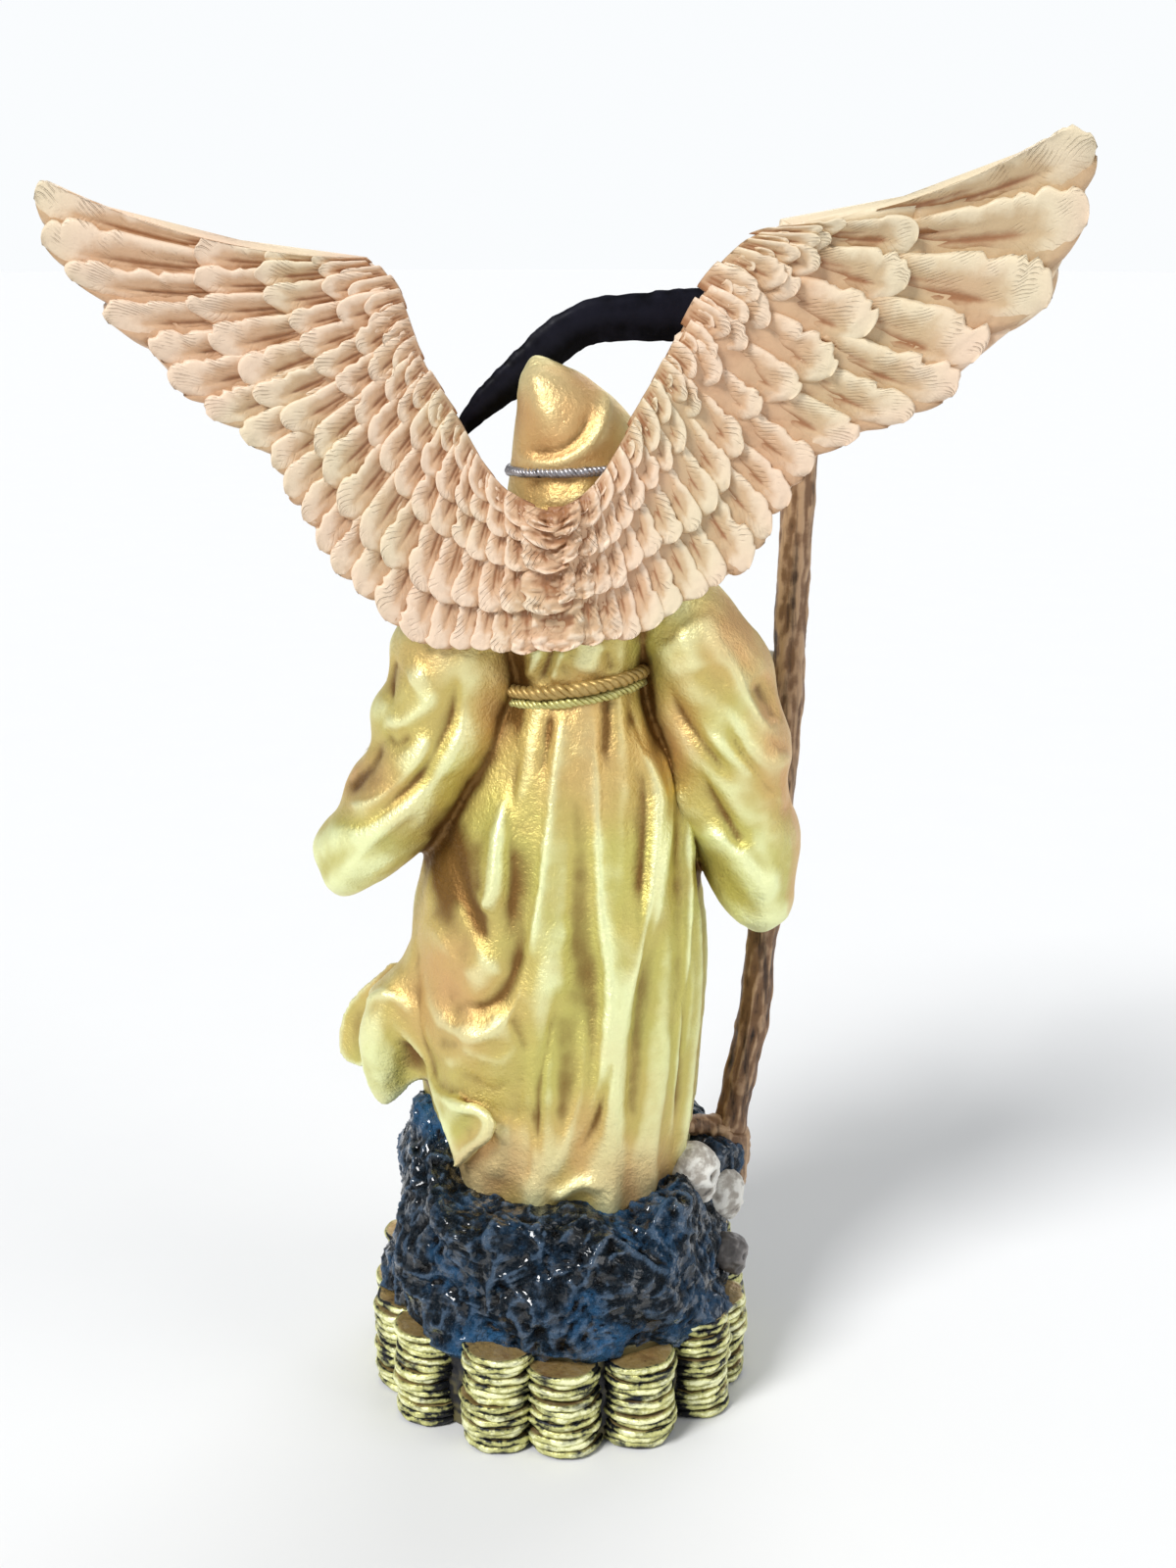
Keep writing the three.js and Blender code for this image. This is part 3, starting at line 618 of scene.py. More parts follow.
@dataclass(frozen=True)
class Finish:
    """A painted finish: a base colour, with painted highlight on the ridges and painted shade in the hollows, over a
    fine grain.

    Colours are linear. Grain is the number of grains in a metre, and bump is in millimetres.
    """

    name: str
    slot: str
    base: Triple
    raised: Triple
    sunken: Triple
    metallic: float = 0.0
    smooth: float = 0.35
    rough: float = 0.6
    coat: float = 0.0
    specular: float = 0.5
    patches: float = 200.0
    broken: float = 0.5
    grain: float = 900.0
    coarse: float = 0.5
    bump: float = 0.12
    gloss_span: tuple[float, float] = (0.4, 1.1)

    def colours(self, graph: Graph) -> tuple[object, object, object]:
        """The base, raised and sunken colours, which may change over the surface."""
        return self.base, self.raised, self.sunken

    def heights(self, graph: Graph, grain: Socket) -> Socket:
        """The height that the bump is made from."""
        return grain

    def varnish(self, graph: Graph) -> object:
        """The weight of the clear coat."""
        return self.coat

    def material(self) -> bpy.types.Material:
        """The node material of this finish, built once."""
        ready = bpy.data.materials.get(self.name)
        if ready:
            return ready
        made = bpy.data.materials.new(self.name)
        made.use_nodes = True
        graph = Graph(made.node_tree)
        base, raised, sunken = self.colours(graph)
        shaded_and_worn = {"Relief": graph.attribute("relief"), "Scale": self.patches, "Break": self.broken}
        shaded_and_worn |= {"Base": rgba(base), "Raised": rgba(raised), "Sunken": rgba(sunken)}
        shade_and_wear_node = graph.node("Group", shaded_and_worn, node_tree=Effect.PAINT_WEAR.group())
        skin = {"Scale": self.grain, "Coarse": self.coarse}
        grain = graph.node("Group", skin, node_tree=Effect.CAST_GRAIN.group())
        height = self.heights(graph, grain.outputs["Height"])
        lumps = graph.node("Bump", {"Strength": 1.0, "Distance": self.bump * MM, "Height": height})
        gloss = graph.ranged(grain.outputs["Height"], *self.gloss_span, self.smooth, self.rough)
        shader = {
            "Base Color": shade_and_wear_node.outputs["Color"],
            "Metallic": self.metallic,
            "Roughness": gloss,
            "Specular IOR Level": self.specular,
            "Coat Weight": self.varnish(graph),
            "Coat Roughness": 0.1,
            "Normal": lumps.outputs[0],
        }
        principled = graph.node("BsdfPrincipled", shader)
        graph.node("OutputMaterial", {"Surface": principled.outputs[0]})
        return made


@dataclass(frozen=True)
class RobePaint(Finish):
    """Gold paint that drifts from a greenish gold to a warm bronze, as the "warmth" kept at the points says."""

    bronze: Triple = (0.7, 0.43, 0.18)
    bronze_sunken: Triple = (0.2, 0.1, 0.022)
    drift_scale: float = 45.0
    drift: float = 1.2
    bronze_ridges: float = 0.72

    def colours(self, graph: Graph) -> tuple[object, object, object]:
        """The gold mixed with bronze, a pale gold on the ridges as painted highlight, and a dark bronze in the hollows
        as painted shade.
        """
        noise = graph.noise(graph.object_place(), self.drift_scale, 3.0)
        shift = graph.times(graph.maths("SUBTRACT", noise, 0.5), self.drift)
        warmth = graph.maths("ADD", graph.attribute("warmth"), shift, clamp=True)
        base = graph.mix(warmth, self.base, self.bronze)
        raised = graph.mix(graph.times(warmth, self.bronze_ridges), self.raised, self.bronze)
        return base, raised, self.bronze_sunken


@dataclass(frozen=True)
class FeatherResin(Finish):
    """Pale resin with the barbs of each feather combed into it, slanting away from the shaft.

    The barbs are as strong as the "comb" kept at the points says.
    """

    cream: Triple = (0.58, 0.42, 0.24)
    pale_cream: Triple = (0.77, 0.65, 0.45)
    drift_scale: float = 24.0
    barb_pitch: float = 1.7
    barb_slant: float = 1.25
    barb_bend: float = 2.2
    bend_scale: float = 160.0
    fade_scale: float = 190.0
    barb_groove_shade: float = 0.8
    grain_height: float = 0.45
    barb_height: float = 0.8

    def barbs(self, graph: Graph) -> Socket:
        """The combed barbs, 0 in their grooves and 1 on them: a wave of (along - slant x |across|), in millimetres.

        The feather's own map gives along and across. Noise bends the barbs and fades them in patches.
        """
        fibre = graph.node("UVMap", uv_map="fibre").outputs[0]
        apart = graph.node("SeparateXYZ", {0: fibre})
        across = graph.maths("ABSOLUTE", graph.times(apart.outputs[0], 1 / MM))
        run = graph.times(apart.outputs[1], 1 / MM)
        place = graph.object_place()
        wander = graph.times(graph.noise(place, self.bend_scale, 3.0), self.barb_bend)
        straight = graph.maths("SUBTRACT", run, graph.times(across, self.barb_slant))
        wave = graph.maths("ADD", straight, wander)
        wave = graph.maths("SINE", graph.times(wave, TURN / self.barb_pitch))
        patch = graph.ranged(graph.noise(place, self.fade_scale), 0.46, 0.66)
        strong = graph.times(patch, graph.attribute("comb"))
        groove = graph.times(graph.ranged(wave, -0.2, -1.0), strong)
        return graph.maths("SUBTRACT", 1.0, groove)

    def colours(self, graph: Graph) -> tuple[object, object, object]:
        """The base and raised colours, drifting to a cooler cream, with painted shade in the grooves between the barbs.
        """
        # Painted shade in the barbs' grooves.
        barbs = graph.ranged(self.barbs(graph), 0.0, 1.0, self.barb_groove_shade, 1.0)
        drift = graph.ranged(graph.noise(graph.object_place(), self.drift_scale, 2.0), 0.4, 0.6)
        base, raised = graph.mix(drift, self.base, self.cream), graph.mix(drift, self.raised, self.pale_cream)
        return graph.mix(barbs, self.sunken, base), graph.mix(barbs, base, raised), self.sunken

    def heights(self, graph: Graph, grain: Socket) -> Socket:
        """The grain with the barbs on it."""
        barbs = graph.times(self.barbs(graph), self.barb_height)
        return graph.maths("ADD", graph.times(grain, self.grain_height), barbs)


@dataclass(frozen=True)
class StreakedPaint(Finish):
    """A finish broken by streaks of another colour. A stretch below 1 lengthens them along that axis."""

    streak: Triple = (0.02, 0.02, 0.02)
    stretch: Triple = (1.0, 1.0, 1.0)
    scale: float = 100.0
    share: float = 0.5
    soft: float = 0.22
    on_ridges: float = 0.7

    def colours(self, graph: Graph) -> tuple[object, object, object]:
        """The base and raised colours, mixed with the streaks' colour."""
        streaks = graph.noise(graph.object_place(self.stretch), self.scale, 5.0, 0.65)
        start = 0.5 + 0.25 * (0.5 - self.share)
        mask = graph.ranged(streaks, start, start + self.soft)
        raised = graph.mix(graph.times(mask, self.on_ridges), self.raised, self.streak)
        return graph.mix(mask, self.base, self.streak), raised, self.sunken


@dataclass(frozen=True)
class VarnishedPaint(StreakedPaint):
    """Streaked paint under a varnish that lies in beads, with bare paint between."""

    beads: float = 330.0
    bead_edge: tuple[float, float] = (0.49, 0.57)

    def varnish(self, graph: Graph) -> object:
        """The varnish's weight, from none to the full coat where fine noise is high."""
        return graph.ranged(graph.noise(graph.object_place(), self.beads, 3.0), *self.bead_edge, 0.0, self.coat)


# In these finishes the raised colour is painted highlight on the ridges and the sunken colour painted shade in the
# hollows. In the bone, the sunken colour also makes the dark cracks and specks.
GOLD = RobePaint(
    "robe_gold_paint", "robe_gold", (0.6, 0.54, 0.155), (0.92, 0.95, 0.52), (0.17, 0.1, 0.02),
    metallic=0.68, smooth=0.38, rough=0.54, patches=160, broken=0.4, grain=1000, coarse=0.5, bump=0.3,
)
FEATHER = FeatherResin(
    "wing_resin_paint", "wing_resin", (0.62, 0.39, 0.23), (0.8, 0.61, 0.45), (0.34, 0.15, 0.06),
    smooth=0.34, rough=0.56, patches=300, broken=0.6, grain=1000, bump=0.3,
)
BONE = Finish(
    "bone_white_paint", "bone_white", (0.4, 0.36, 0.31), (0.78, 0.76, 0.7), (0.015, 0.012, 0.01),
    smooth=0.4, rough=0.65, patches=420, broken=2.1, bump=0.15,
)
DARK_BONE = Finish(
    "dark_bone_paint", "bone_white", (0.08, 0.07, 0.065), (0.22, 0.2, 0.19), (0.015, 0.013, 0.013),
    smooth=0.3, rough=0.5, coat=0.2, patches=420, broken=0.9, bump=0.1,
)
# The rock's raised colour is a painted highlight on the crests, and its streak colour a painted blue sheen in patches.
ROCK_BLACK = VarnishedPaint(
    "rock_black_paint", "rock_black", (0.003, 0.0075, 0.013), (0.052, 0.084, 0.13), (0.0006, 0.0006, 0.001),
    smooth=0.06, rough=0.3, coat=1.0, specular=0.12, patches=240, broken=2.3, grain=520, coarse=2.4, bump=1.8,
    streak=(0.022, 0.088, 0.19), scale=40, share=0.62,
)
SHAFT_WOOD = StreakedPaint(
    "shaft_wood_paint", "shaft_brown", (0.2, 0.105, 0.05), (0.48, 0.31, 0.18), (0.012, 0.006, 0.004),
    smooth=0.4, rough=0.62, specular=0.35, patches=300, broken=1.1, bump=0.2,
    streak=(0.03, 0.015, 0.008), stretch=(1, 1, 0.09), scale=420, share=0.6,
)
BLADE_BLACK = StreakedPaint(
    "blade_black_paint", "blade_black", (0.003, 0.003, 0.004), (0.012, 0.012, 0.02), (0.0015, 0.0015, 0.002),
    smooth=0.3, rough=0.5, specular=0.05, patches=150, broken=0.6, grain=600, bump=0.12,
    streak=(0.01, 0.01, 0.016), scale=60,
)
SILVER = Finish(
    "silver_braid_paint", "trim_silver", (0.02, 0.018, 0.019), (0.4, 0.39, 0.41), (0.006, 0.005, 0.006),
    metallic=0.7, smooth=0.22, rough=0.42, specular=0.2, patches=420, broken=4.4, bump=0.08,
)
ROPE_BROWN = Finish(
    "rope_brown_paint", "robe_gold", (0.17, 0.09, 0.025), (0.44, 0.3, 0.1), (0.02, 0.01, 0.004),
    metallic=0.5, smooth=0.35, rough=0.55, patches=420, broken=0.6, bump=0.05,
)
ROPE_GOLD = Finish(
    "rope_gold_paint", "robe_gold", (0.27, 0.22, 0.06), (0.56, 0.52, 0.2), (0.03, 0.02, 0.008),
    metallic=0.6, smooth=0.35, rough=0.5, patches=420, broken=0.6, bump=0.05,
)


class Solid(Enum):
    """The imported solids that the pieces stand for."""

    FIGURE = "figure_and_base"
    WINGS = "wings"
    SCYTHE = "scythe"


def dress(made: bpy.types.Object, finish: Finish, solid: Solid = Solid.FIGURE) -> None:
    """Puts a finish on a piece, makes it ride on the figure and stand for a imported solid."""
    made.data.materials.append(finish.material())
    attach(made, "root")
    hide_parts(solid.value)
    LOG.info("%s: %d faces", made.name, len(made.data.polygons))


HEM, BELT, NECK = -8.0, 119.0, 165.0


@dataclass
class Robe:
    """The robe's body, from the hem to the neck: an oval that swells and narrows, with pleats that spread downwards.

    Stations are height, half width, half depth and middle. Pleats are the angle at the belt and at the hem, the
    half width in degrees and the height.
    """

    middle_y: float = -1.0
    set_in: float = 1.4
    stations: Points = rows_field([
        (HEM, 30, 31.5, 0), (18, 33, 31, 0), (54, 35, 28, 0), (80, 30.5, 25, -0.5), (104, 21.5, 20.5, -2.5),
        (BELT, 16, 16.5, -4), (130, 19, 18, -3.5), (140, 23, 19, -3), (148, 24, 18.5, -3), (157, 18.5, 16.5, -4),
        (NECK, 12, 12.5, -5),
    ])
    pleats: Points = rows_field([
        (97, 80, 8, 2.6), (127, 112, 8, 2.8), (148, 132, 8, 2.6), (62, 50, 9, 2.2), (168, 160, 7, 2.8),
        (192, 192, 6, 4), (218, 220, 6, 4.4), (246, 248, 6, 4.8), (272, 276, 7, 4), (296, 302, 6, 4.8),
        (322, 326, 7, 4.2), (352, 352, 9, 3),
    ])

    def skin(self) -> Surface:
        """The oval 1 / |(cos a / width, sin a / depth)| plus a bell for each pleat, less the cloth's setting in."""
        z, a = grid_of(np.linspace(HEM, NECK, 260), around(420))
        width, depth, middle = np.moveaxis(through(self.stations, z), -1, 0)
        down, above = ramp(z, BELT, 30), ramp(z, BELT, BELT + 20)
        fold = np.full(z.shape, -self.set_in)
        for waist, hem, half, height in self.pleats:
            at = np.radians(waist + (hem - waist) * ramp(z, BELT, 0))
            fold += height * bump(turn_between(a, at), math.radians(half))
        fold *= (0.3 + 0.7 * down) * (1 - 0.75 * above)
        reach = 1 / np.hypot(np.cos(a) / width, np.sin(a) / depth) + fold
        return Surface.lofts(drawn(np.stack([middle + reach * np.cos(a), self.middle_y + reach * np.sin(a), z], -1)))

    def reach_at(self, angle: Array, z: float, out: float) -> Array:
        """Places round the body at one height, a little out from its oval."""
        width, depth, middle = through(self.stations, np.array(z - ROCK_TOP))
        return np.stack([
            middle + (width + out) * np.cos(angle), self.middle_y + (depth + out) * np.sin(angle),
            np.full(angle.shape, z),
        ], -1)


@dataclass
class WindblownHem:
    """The hem that the wind lifts on the figure's left.

    Stations are the angle, the reach and height of the rim, and the height of the edge below. The ruffle's rows are
    two picture places with their y, for its rim and its edge, and how far the cloth between them bulges.
    """

    stations: Points = rows_field([
        (-62, 28, 34, 10), (-42, 40, 36, 16), (-26, 47, 36, 20), (-14, 48.5, 37, 20), (-5, 47, 38.5, 19),
        (3, 45, 38, 18), (10, 39, 34, 17), (17, 33, 26, 15), (27, 33, 21.5, 12), (42, 33.8, 22, 13),
        (54, 33.2, 22, 14), (64, 31, 18, 11), (72, 28, 12, 5), (80, 24, 6, 0),
    ])
    ruffle: Points = rows_field([
        (407, 980, -14, 397, 984, -16, 0), (397, 998, -15, 357, 1021, -20, -1), (388, 1018, -15, 345, 1055, -21, -2),
        (386, 1036, -13, 351, 1080, -19, -2), (386, 1044, -10, 368, 1090, -14, -1), (384, 1030, -5, 371, 1076, -8, 1),
        (379, 1021, -1, 369, 1062, -4, 2), (385, 1016, 1, 370, 1088, -3, 3), (392, 1015, 3, 377, 1112, -4, 3.5),
        (401, 1017, 4, 388, 1126, -4, 3), (410, 1022, 5, 402, 1125, -3, 2), (419, 1031, 6, 414, 1114, -1, 0),
        (427, 1044, 6.5, 423, 1105, 1, -1), (433, 1058, 7, 431, 1101, 3, -1.5), (438, 1078, 8, 438, 1102, 6, -1),
        (442, 1098, 10, 441, 1110, 9, 0), (449, 1117, 16, 447, 1128, 13, 0),
        (468, 1128, 26.5, 452, 1152, 20, -1), (488, 1133, 30, 458, 1170, 22, -1.5),
        (499, 1144, 31.5, 463, 1184, 23, -1.5), (495, 1160, 31, 465, 1189, 23.5, -1),
        (480, 1172, 28.5, 466, 1191, 24, 0), (464, 1186, 24.5, 464, 1192, 24, 0),
    ])
    rim_radius: float = 1.45
    cloth: float = 1.2
    inner: float = 14.0

    def section(self, reach: Array, rim: Array, edge: Array) -> Array:
        """The cloth's section at each angle: from the body down over the flare to its rim, and tucked in under it."""
        inner = np.full(reach.shape, self.inner)
        rows = [
            (inner, rim + 26), (29 + 0.1 * (reach - 29), rim + 26), (30 + 0.5 * (reach - 30), rim + 9),
            (reach - 1.2, rim + 1.2), (reach, rim - 1), (reach - 1.5, rim - 3.5), (reach - 8, rim - 8),
            (reach - 12, edge), (inner, edge),
        ]
        return np.stack([np.stack(row, -1) for row in rows], 1)

    def flare(self) -> Surface:
        """The section swept round the body."""
        degrees = np.linspace(self.stations[0][0], self.stations[-1][0], 160)
        section = self.section(*np.moveaxis(through(self.stations, degrees), -1, 0))
        loop = np.concatenate([section, section[:, :1]], 1)
        share = np.linspace(0, section.shape[1], 108, endpoint=False)
        i, t = np.floor(share).astype(int), (share % 1)[None, :, None]
        line = loop[:, i] * (1 - t) + loop[:, i + 1] * t
        a = np.radians(degrees)[:, None]
        return Surface.lofts(drawn(ringed(line[..., 0], a, line[..., 1])))

    def skins(self) -> list[Surface]:
        """The flare, then the ruffle that hangs from it, and the rim between them.

        The ruffle is top + (low - top) (1 - cos a) / 2, as thick as cloth x |sin a|^0.6, bulging by a sine between.
        """
        rows = np.asarray(self.ruffle, float)
        t = np.linspace(0, 1, 260)
        top, low = along(VIEW.carried(rows[:, :3]), t), along(VIEW.carried(rows[:, 3:6]), t)
        bulge = along(rows[:, 6:], t)
        a = around(36)
        down = ((1 - np.cos(a)) / 2)[None, :]
        thick = self.cloth * np.sign(np.sin(a)) * np.abs(np.sin(a)) ** 0.6
        across = unit(np.cross(np.gradient((top + low) / 2, axis=0), low - top))
        sheet = top[:, None] + (low - top)[:, None] * down[..., None] + across[:, None] * thick[:, None]
        sheet[..., 1] += bulge * np.sin(math.pi * down)
        radius = self.rim_radius * np.sqrt(np.clip(1 - np.abs(2 * t - 1) ** 14, 0.1, 1))
        rim = tube(top[60:], radius[60:], 18, (0.3, 1, 0.2))
        return [self.flare(), Surface.lofts(sheet), rim]


@dataclass
class Sleeve:
    """A wide sleeve that hangs from the shoulder, with an open mouth in front.

    Stations are height, middle x and y, half width and half depth. The folds are waves across the sleeve.
    """

    stations: Points
    fold: float
    pitch: float
    slant: float
    sag: float
    mouth: Triple
    mouth_half: Triple

    def skin(self) -> Surface:
        """Ovals whose size swings by sin(2 pi (z + slant c - sag c^2) / pitch), c across, less the mouth."""
        low, high = self.stations[0][0], self.stations[-1][0]
        z, a = grid_of(np.linspace(low, high, 150), around(160))
        x, y, width, depth = np.moveaxis(through(self.stations, z), -1, 0)
        across = np.cos(a)
        wave = np.sin(TURN * (z + self.slant * across - self.sag * across**2) / self.pitch)
        front = ramp(np.sin(a), 0.5, -0.3)
        size = 1 + self.fold * wave * (0.35 + 0.65 * front) * ramp((z - low) / (high - low), 1, 0.6)
        body = Surface.lofts(drawn(np.stack([x + width * size * across, y + depth * size * np.sin(a), z], -1)))
        return cut_away(body, ball(tuple(drawn(np.array(self.mouth))), self.mouth_half))


LEFT_SLEEVE = Sleeve(
    [(65.5, 51, -5, 3, 7), (69, 49.5, -5, 7.5, 12), (76, 45, -4, 13, 16), (84, 40, -3, 15, 18), (94, 33, -1, 15.5, 17),
     (104, 28, 0, 16.5, 16), (116, 25, 0.5, 16, 15.5), (128, 23, 1, 14.5, 15), (139, 20, 1, 12.5, 13.5),
     (148, 15, 0, 9, 10)],
    fold=0.09, pitch=17, slant=3, sag=-9, mouth=(45, -21, 84), mouth_half=(9, 15, 15),
)
RIGHT_SLEEVE = Sleeve(
    [(57, -48.5, -2, 3, 6), (62, -47.5, -2, 8, 12), (75, -45.5, -2, 12, 15), (90, -41.5, -1.5, 13.5, 15.5),
     (106, -38.5, 0, 15, 15), (122, -34.5, 1, 15, 14.5), (134, -29, 1, 13.5, 13.5), (143, -23, 1, 11, 12),
     (150, -17, 0, 8, 9)],
    fold=0.08, pitch=22, slant=-16, sag=4, mouth=(-46, -18, 86), mouth_half=(8, 14, 24),
)


@dataclass
class Hood:
    """The hood, leaning to a point on the figure's left, hollow in front.

    Stations are height, half width, half depth and middle. Middles are the middle's y at the bottom and the point.
    """

    stations: Points = rows_field([
        (150, 17, 15, -4), (160, 16.5, 15.5, -5), (168, 15.5, 15, -5), (178, 13, 13.5, -4), (187, 7.5, 8.5, 0.5),
        (192, 1.5, 2, 4),
    ])
    middles: tuple[float, float] = (-2.0, 2.0)
    opening: Triple = (-5.0, -14.0, 167.0)
    opening_half: Triple = (10.0, 15.0, 14.5)

    def ring(self, angle: Array, z: Array) -> Array:
        """Places on the hood's outside: (middle + width cos a, y + depth sin a, z), with y leaning back as z rises."""
        width, depth, middle = np.moveaxis(through(self.stations, z), -1, 0)
        y = np.interp(z, (self.stations[0][0], self.stations[-1][0]), self.middles)
        return drawn(np.stack([middle + width * np.cos(angle), y + depth * np.sin(angle), z], -1))

    def skin(self) -> Surface:
        """The stack of ovals, less a hollow for the face."""
        heights = np.linspace(self.stations[0][0], self.stations[-1][0], 90)
        z, a = grid_of(heights, around(140))
        cloth = Surface.lofts(self.ring(a, z))
        return cut_away(cloth, ball(tuple(drawn(np.array(self.opening))), self.opening_half))


def pairs(written: str) -> Points:
    """Pairs of numbers written as "a,b c,d"."""
    return [tuple(float(number) for number in pair.split(",")) for pair in written.split()]


def folds(written: str) -> list[Fold]:
    """Folds written as width, height and the path's pairs, each fold ended by a semicolon."""
    rows = [row.split(maxsplit=2) for row in written.split(";") if row.strip()]
    return [Fold(pairs(path), float(width), float(height)) for width, height, path in rows]


ROBE_FOLDS = folds("""
6 1.7 575,717 572,747 567,790 562,837 557,880 552,920 545,963 537,1000;
12 3.0 552,920 545,963 537,1000 527,1027 510,1045 490,1055 473,1050 457,1037 443,1012 432,975;
9 -1.8 535,940 527,985 512,1018 490,1028 470,1018;
7 2.0 610,717 607,763 607,813 610,867 613,920 620,973 623,1013 620,1057 615,1097 607,1130 593,1157 580,1173;
4.5 -1.1 621,695 620,725 619,750 617,790;
6 2.2 633,718 647,747 660,780 668,807 668,840 665,880 660,920 650,967 640,1007 633,1040 628,1080 625,1123
624,1163 624,1213;
4.5 1.4 667,753 678,787 679,830 675,880 669,933 658,980;
5.5 2.3 673,767 689,793 694,827 697,867 700,907 699,947 694,990 689,1033 683,1073 682,1113 682,1153
678,1213;
6 1.2 704,963 703,1013 698,1053 691,1097;
8 1.7 593,1013 596,1063 594,1107 583,1147 572,1180 563,1210;
6 -1.5 570,1000 563,1047 554,1090 550,1120 550,1160 556,1195;
12 -0.9 640,800 642,860 638,920 630,960;
12 -0.8 588,780 586,860 586,940 592,1000;
7 2.8 517,800 511,847 508,880 505,907 498,922 488,931;
8 -1.4 533,745 522,800 520,860 522,920 518,970;
12 -1.7 450,840 462,880 473,915 489,950 506,988;
9 0.9 436,935 452,962 474,988 500,1008;
8 0.9 462,905 476,945 496,980 520,1000;
10 1.1 420,1010 432,1040 447,1065 465,1085 487,1100;
8 1.0 470,1060 487,1073 510,1082 535,1062;
8 -0.9 462,1085 482,1100 505,1112 522,1100;
5 2.2 560,1225 572,1217 587,1208 604,1207 615,1218;
12 1.1 640,1215 655,1150 662,1090 660,1040;
12 1.2 500,1205 515,1170 520,1130;
4 -1.5 566,655 563,664 556,682 547,700;
4 -1.1 584,652 578,668 569,692;
4 1.2 577,660 570,678 562,697;
5 1.2 552,660 545,678 538,694;
11 1.5 612,650 604,668 596,690;
4 -1.0 619,660 622,674 624,688;
4 -1.2 632,1000 629,1060 619,1110 605,1147 590,1178;
4 -1.0 691,960 691,1040 689,1100 688,1165;
5 -1.3 549,940 539,995 527,1032 508,1056;
4 -1.0 655,760 659,820 657,880 650,930;
4 -0.9 563,722 558,760 553,800;
4 -0.9 642,722 652,750 661,778;
8 -1.2 536,1215 540,1170 540,1125;
""")
SLEEVE_FOLDS = folds("""
7 -1.7 340,834 370,840 400,820 425,795 447,762 460,735 465,705 464,680;
8 1.8 352,812 368,822 388,816 410,797 430,770 443,745;
9 -1.5 345,805 364,795 380,775 388,752;
6 -1.0 392,744 405,759 424,747;
9 1.7 393,730 411,738 434,721 447,702;
9 1.3 418,697 436,686;
4 -1.3 402,670 397,690 399,722;
11 2.4 345,895 365,878 384,855 409,832 436,802 461,766 472,730 470,672;
5 -1.2 361,884 382,862 407,843 430,828;
7 1.0 370,893 400,875 428,858 448,846;
6 -1.7 680,698 693,730 710,751 730,774 752,802;
10 2.0 708,728 733,757 757,780 779,798 792,812 797,826;
9 2.0 738,714 751,741 764,763 779,775 796,773 803,763;
5 -1.8 740,728 752,758 765,781 783,804 801,816;
6 -1.5 709,778 724,811 740,836 752,855 760,872;
7 1.7 696,796 701,822 708,856 711,882;
6.5 1.6 713,850 733,853 752,868 766,888 779,908 783,922;
12 1.0 765,845 782,880 792,915;
6 1.8 712,625 733,661 750,688 757,705 774,734 800,763;
14 1.2 690,640 705,665 712,690;
12 -1.4 770,690 785,715 795,740;
""")
HOOD_FOLDS = folds("""
5 1.7 524,460 545,471 570,471 596,458 611,440 617,420 613,404 603,392;
6 -1.3 531,453 550,463 571,460 589,448 600,430 603,411;
13 1.1 548,372 550,395 556,418 574,432;
6 -0.8 530,498 560,492 600,492;
12 1.0 545,510 580,512 610,505;
""")


@dataclass(frozen=True)
class Tint:
    """A soft patch in the paint of the back: middle, radii and strength. Tints turn it to bronze; shades darken it as
    painted shade, or lighten it as painted light where the strength is below 0.
    """

    middle: tuple[float, float]
    radii: tuple[float, float]
    strength: float

    def at(self, seen: Array) -> Array:
        """Strength x exp(-(dx / rx)^2 - (dy / ry)^2) in the picture from behind."""
        return self.strength * np.exp(-(((seen - self.middle) / self.radii) ** 2).sum(-1))


def tints(rows: Points) -> list[Tint]:
    """Tints from rows of middle x and y, radius x and y, and strength."""
    return [Tint(row[:2], row[2:4], row[4]) for row in rows]


TINTS = tints([
    (600, 760, 60, 75, 0.65), (450, 1010, 65, 75, 0.7), (500, 1190, 65, 45, 1.0), (655, 1205, 45, 40, 0.95),
    (592, 1150, 22, 50, 0.4), (372, 790, 38, 45, 0.6), (440, 672, 45, 25, 0.5), (505, 725, 25, 60, 0.6),
    (748, 645, 40, 60, 0.8), (790, 745, 22, 75, 0.85), (693, 745, 22, 60, 0.5), (575, 440, 75, 95, 0.95),
    (465, 1152, 24, 24, -0.6), (390, 1085, 30, 34, -0.3), (345, 880, 40, 40, -0.35), (600, 1000, 90, 130, -0.3),
    (755, 870, 45, 75, -0.35),
])
# Painted shade in the hollows and creases and under the sleeves; the patches below 0 are painted light on the hem.
SHADES = tints([
    (468, 885, 20, 52, 0.85), (452, 888, 15, 46, 0.95), (494, 945, 20, 34, 0.4), (352, 802, 24, 14, 0.3),
    (399, 697, 12, 24, 0.35), (529, 705, 9, 62, 0.9), (662, 712, 9, 30, 0.8), (714, 893, 9, 14, 0.9),
    (620, 745, 8, 30, 0.3), (572, 1100, 8, 60, 0.35), (442, 852, 16, 8, 0.6), (500, 1185, 70, 40, -0.55),
    (650, 1195, 50, 45, -0.5), (590, 1195, 30, 30, -0.3), (392, 792, 42, 16, 0.4), (370, 748, 12, 40, 0.35),
    (548, 1130, 7, 55, 0.5), (612, 1125, 6, 40, 0.45), (562, 740, 5, 26, 0.45), (575, 440, 75, 95, 0.1),
    (641, 735, 5, 30, 0.45), (478, 1066, 28, 8, 0.4),
])


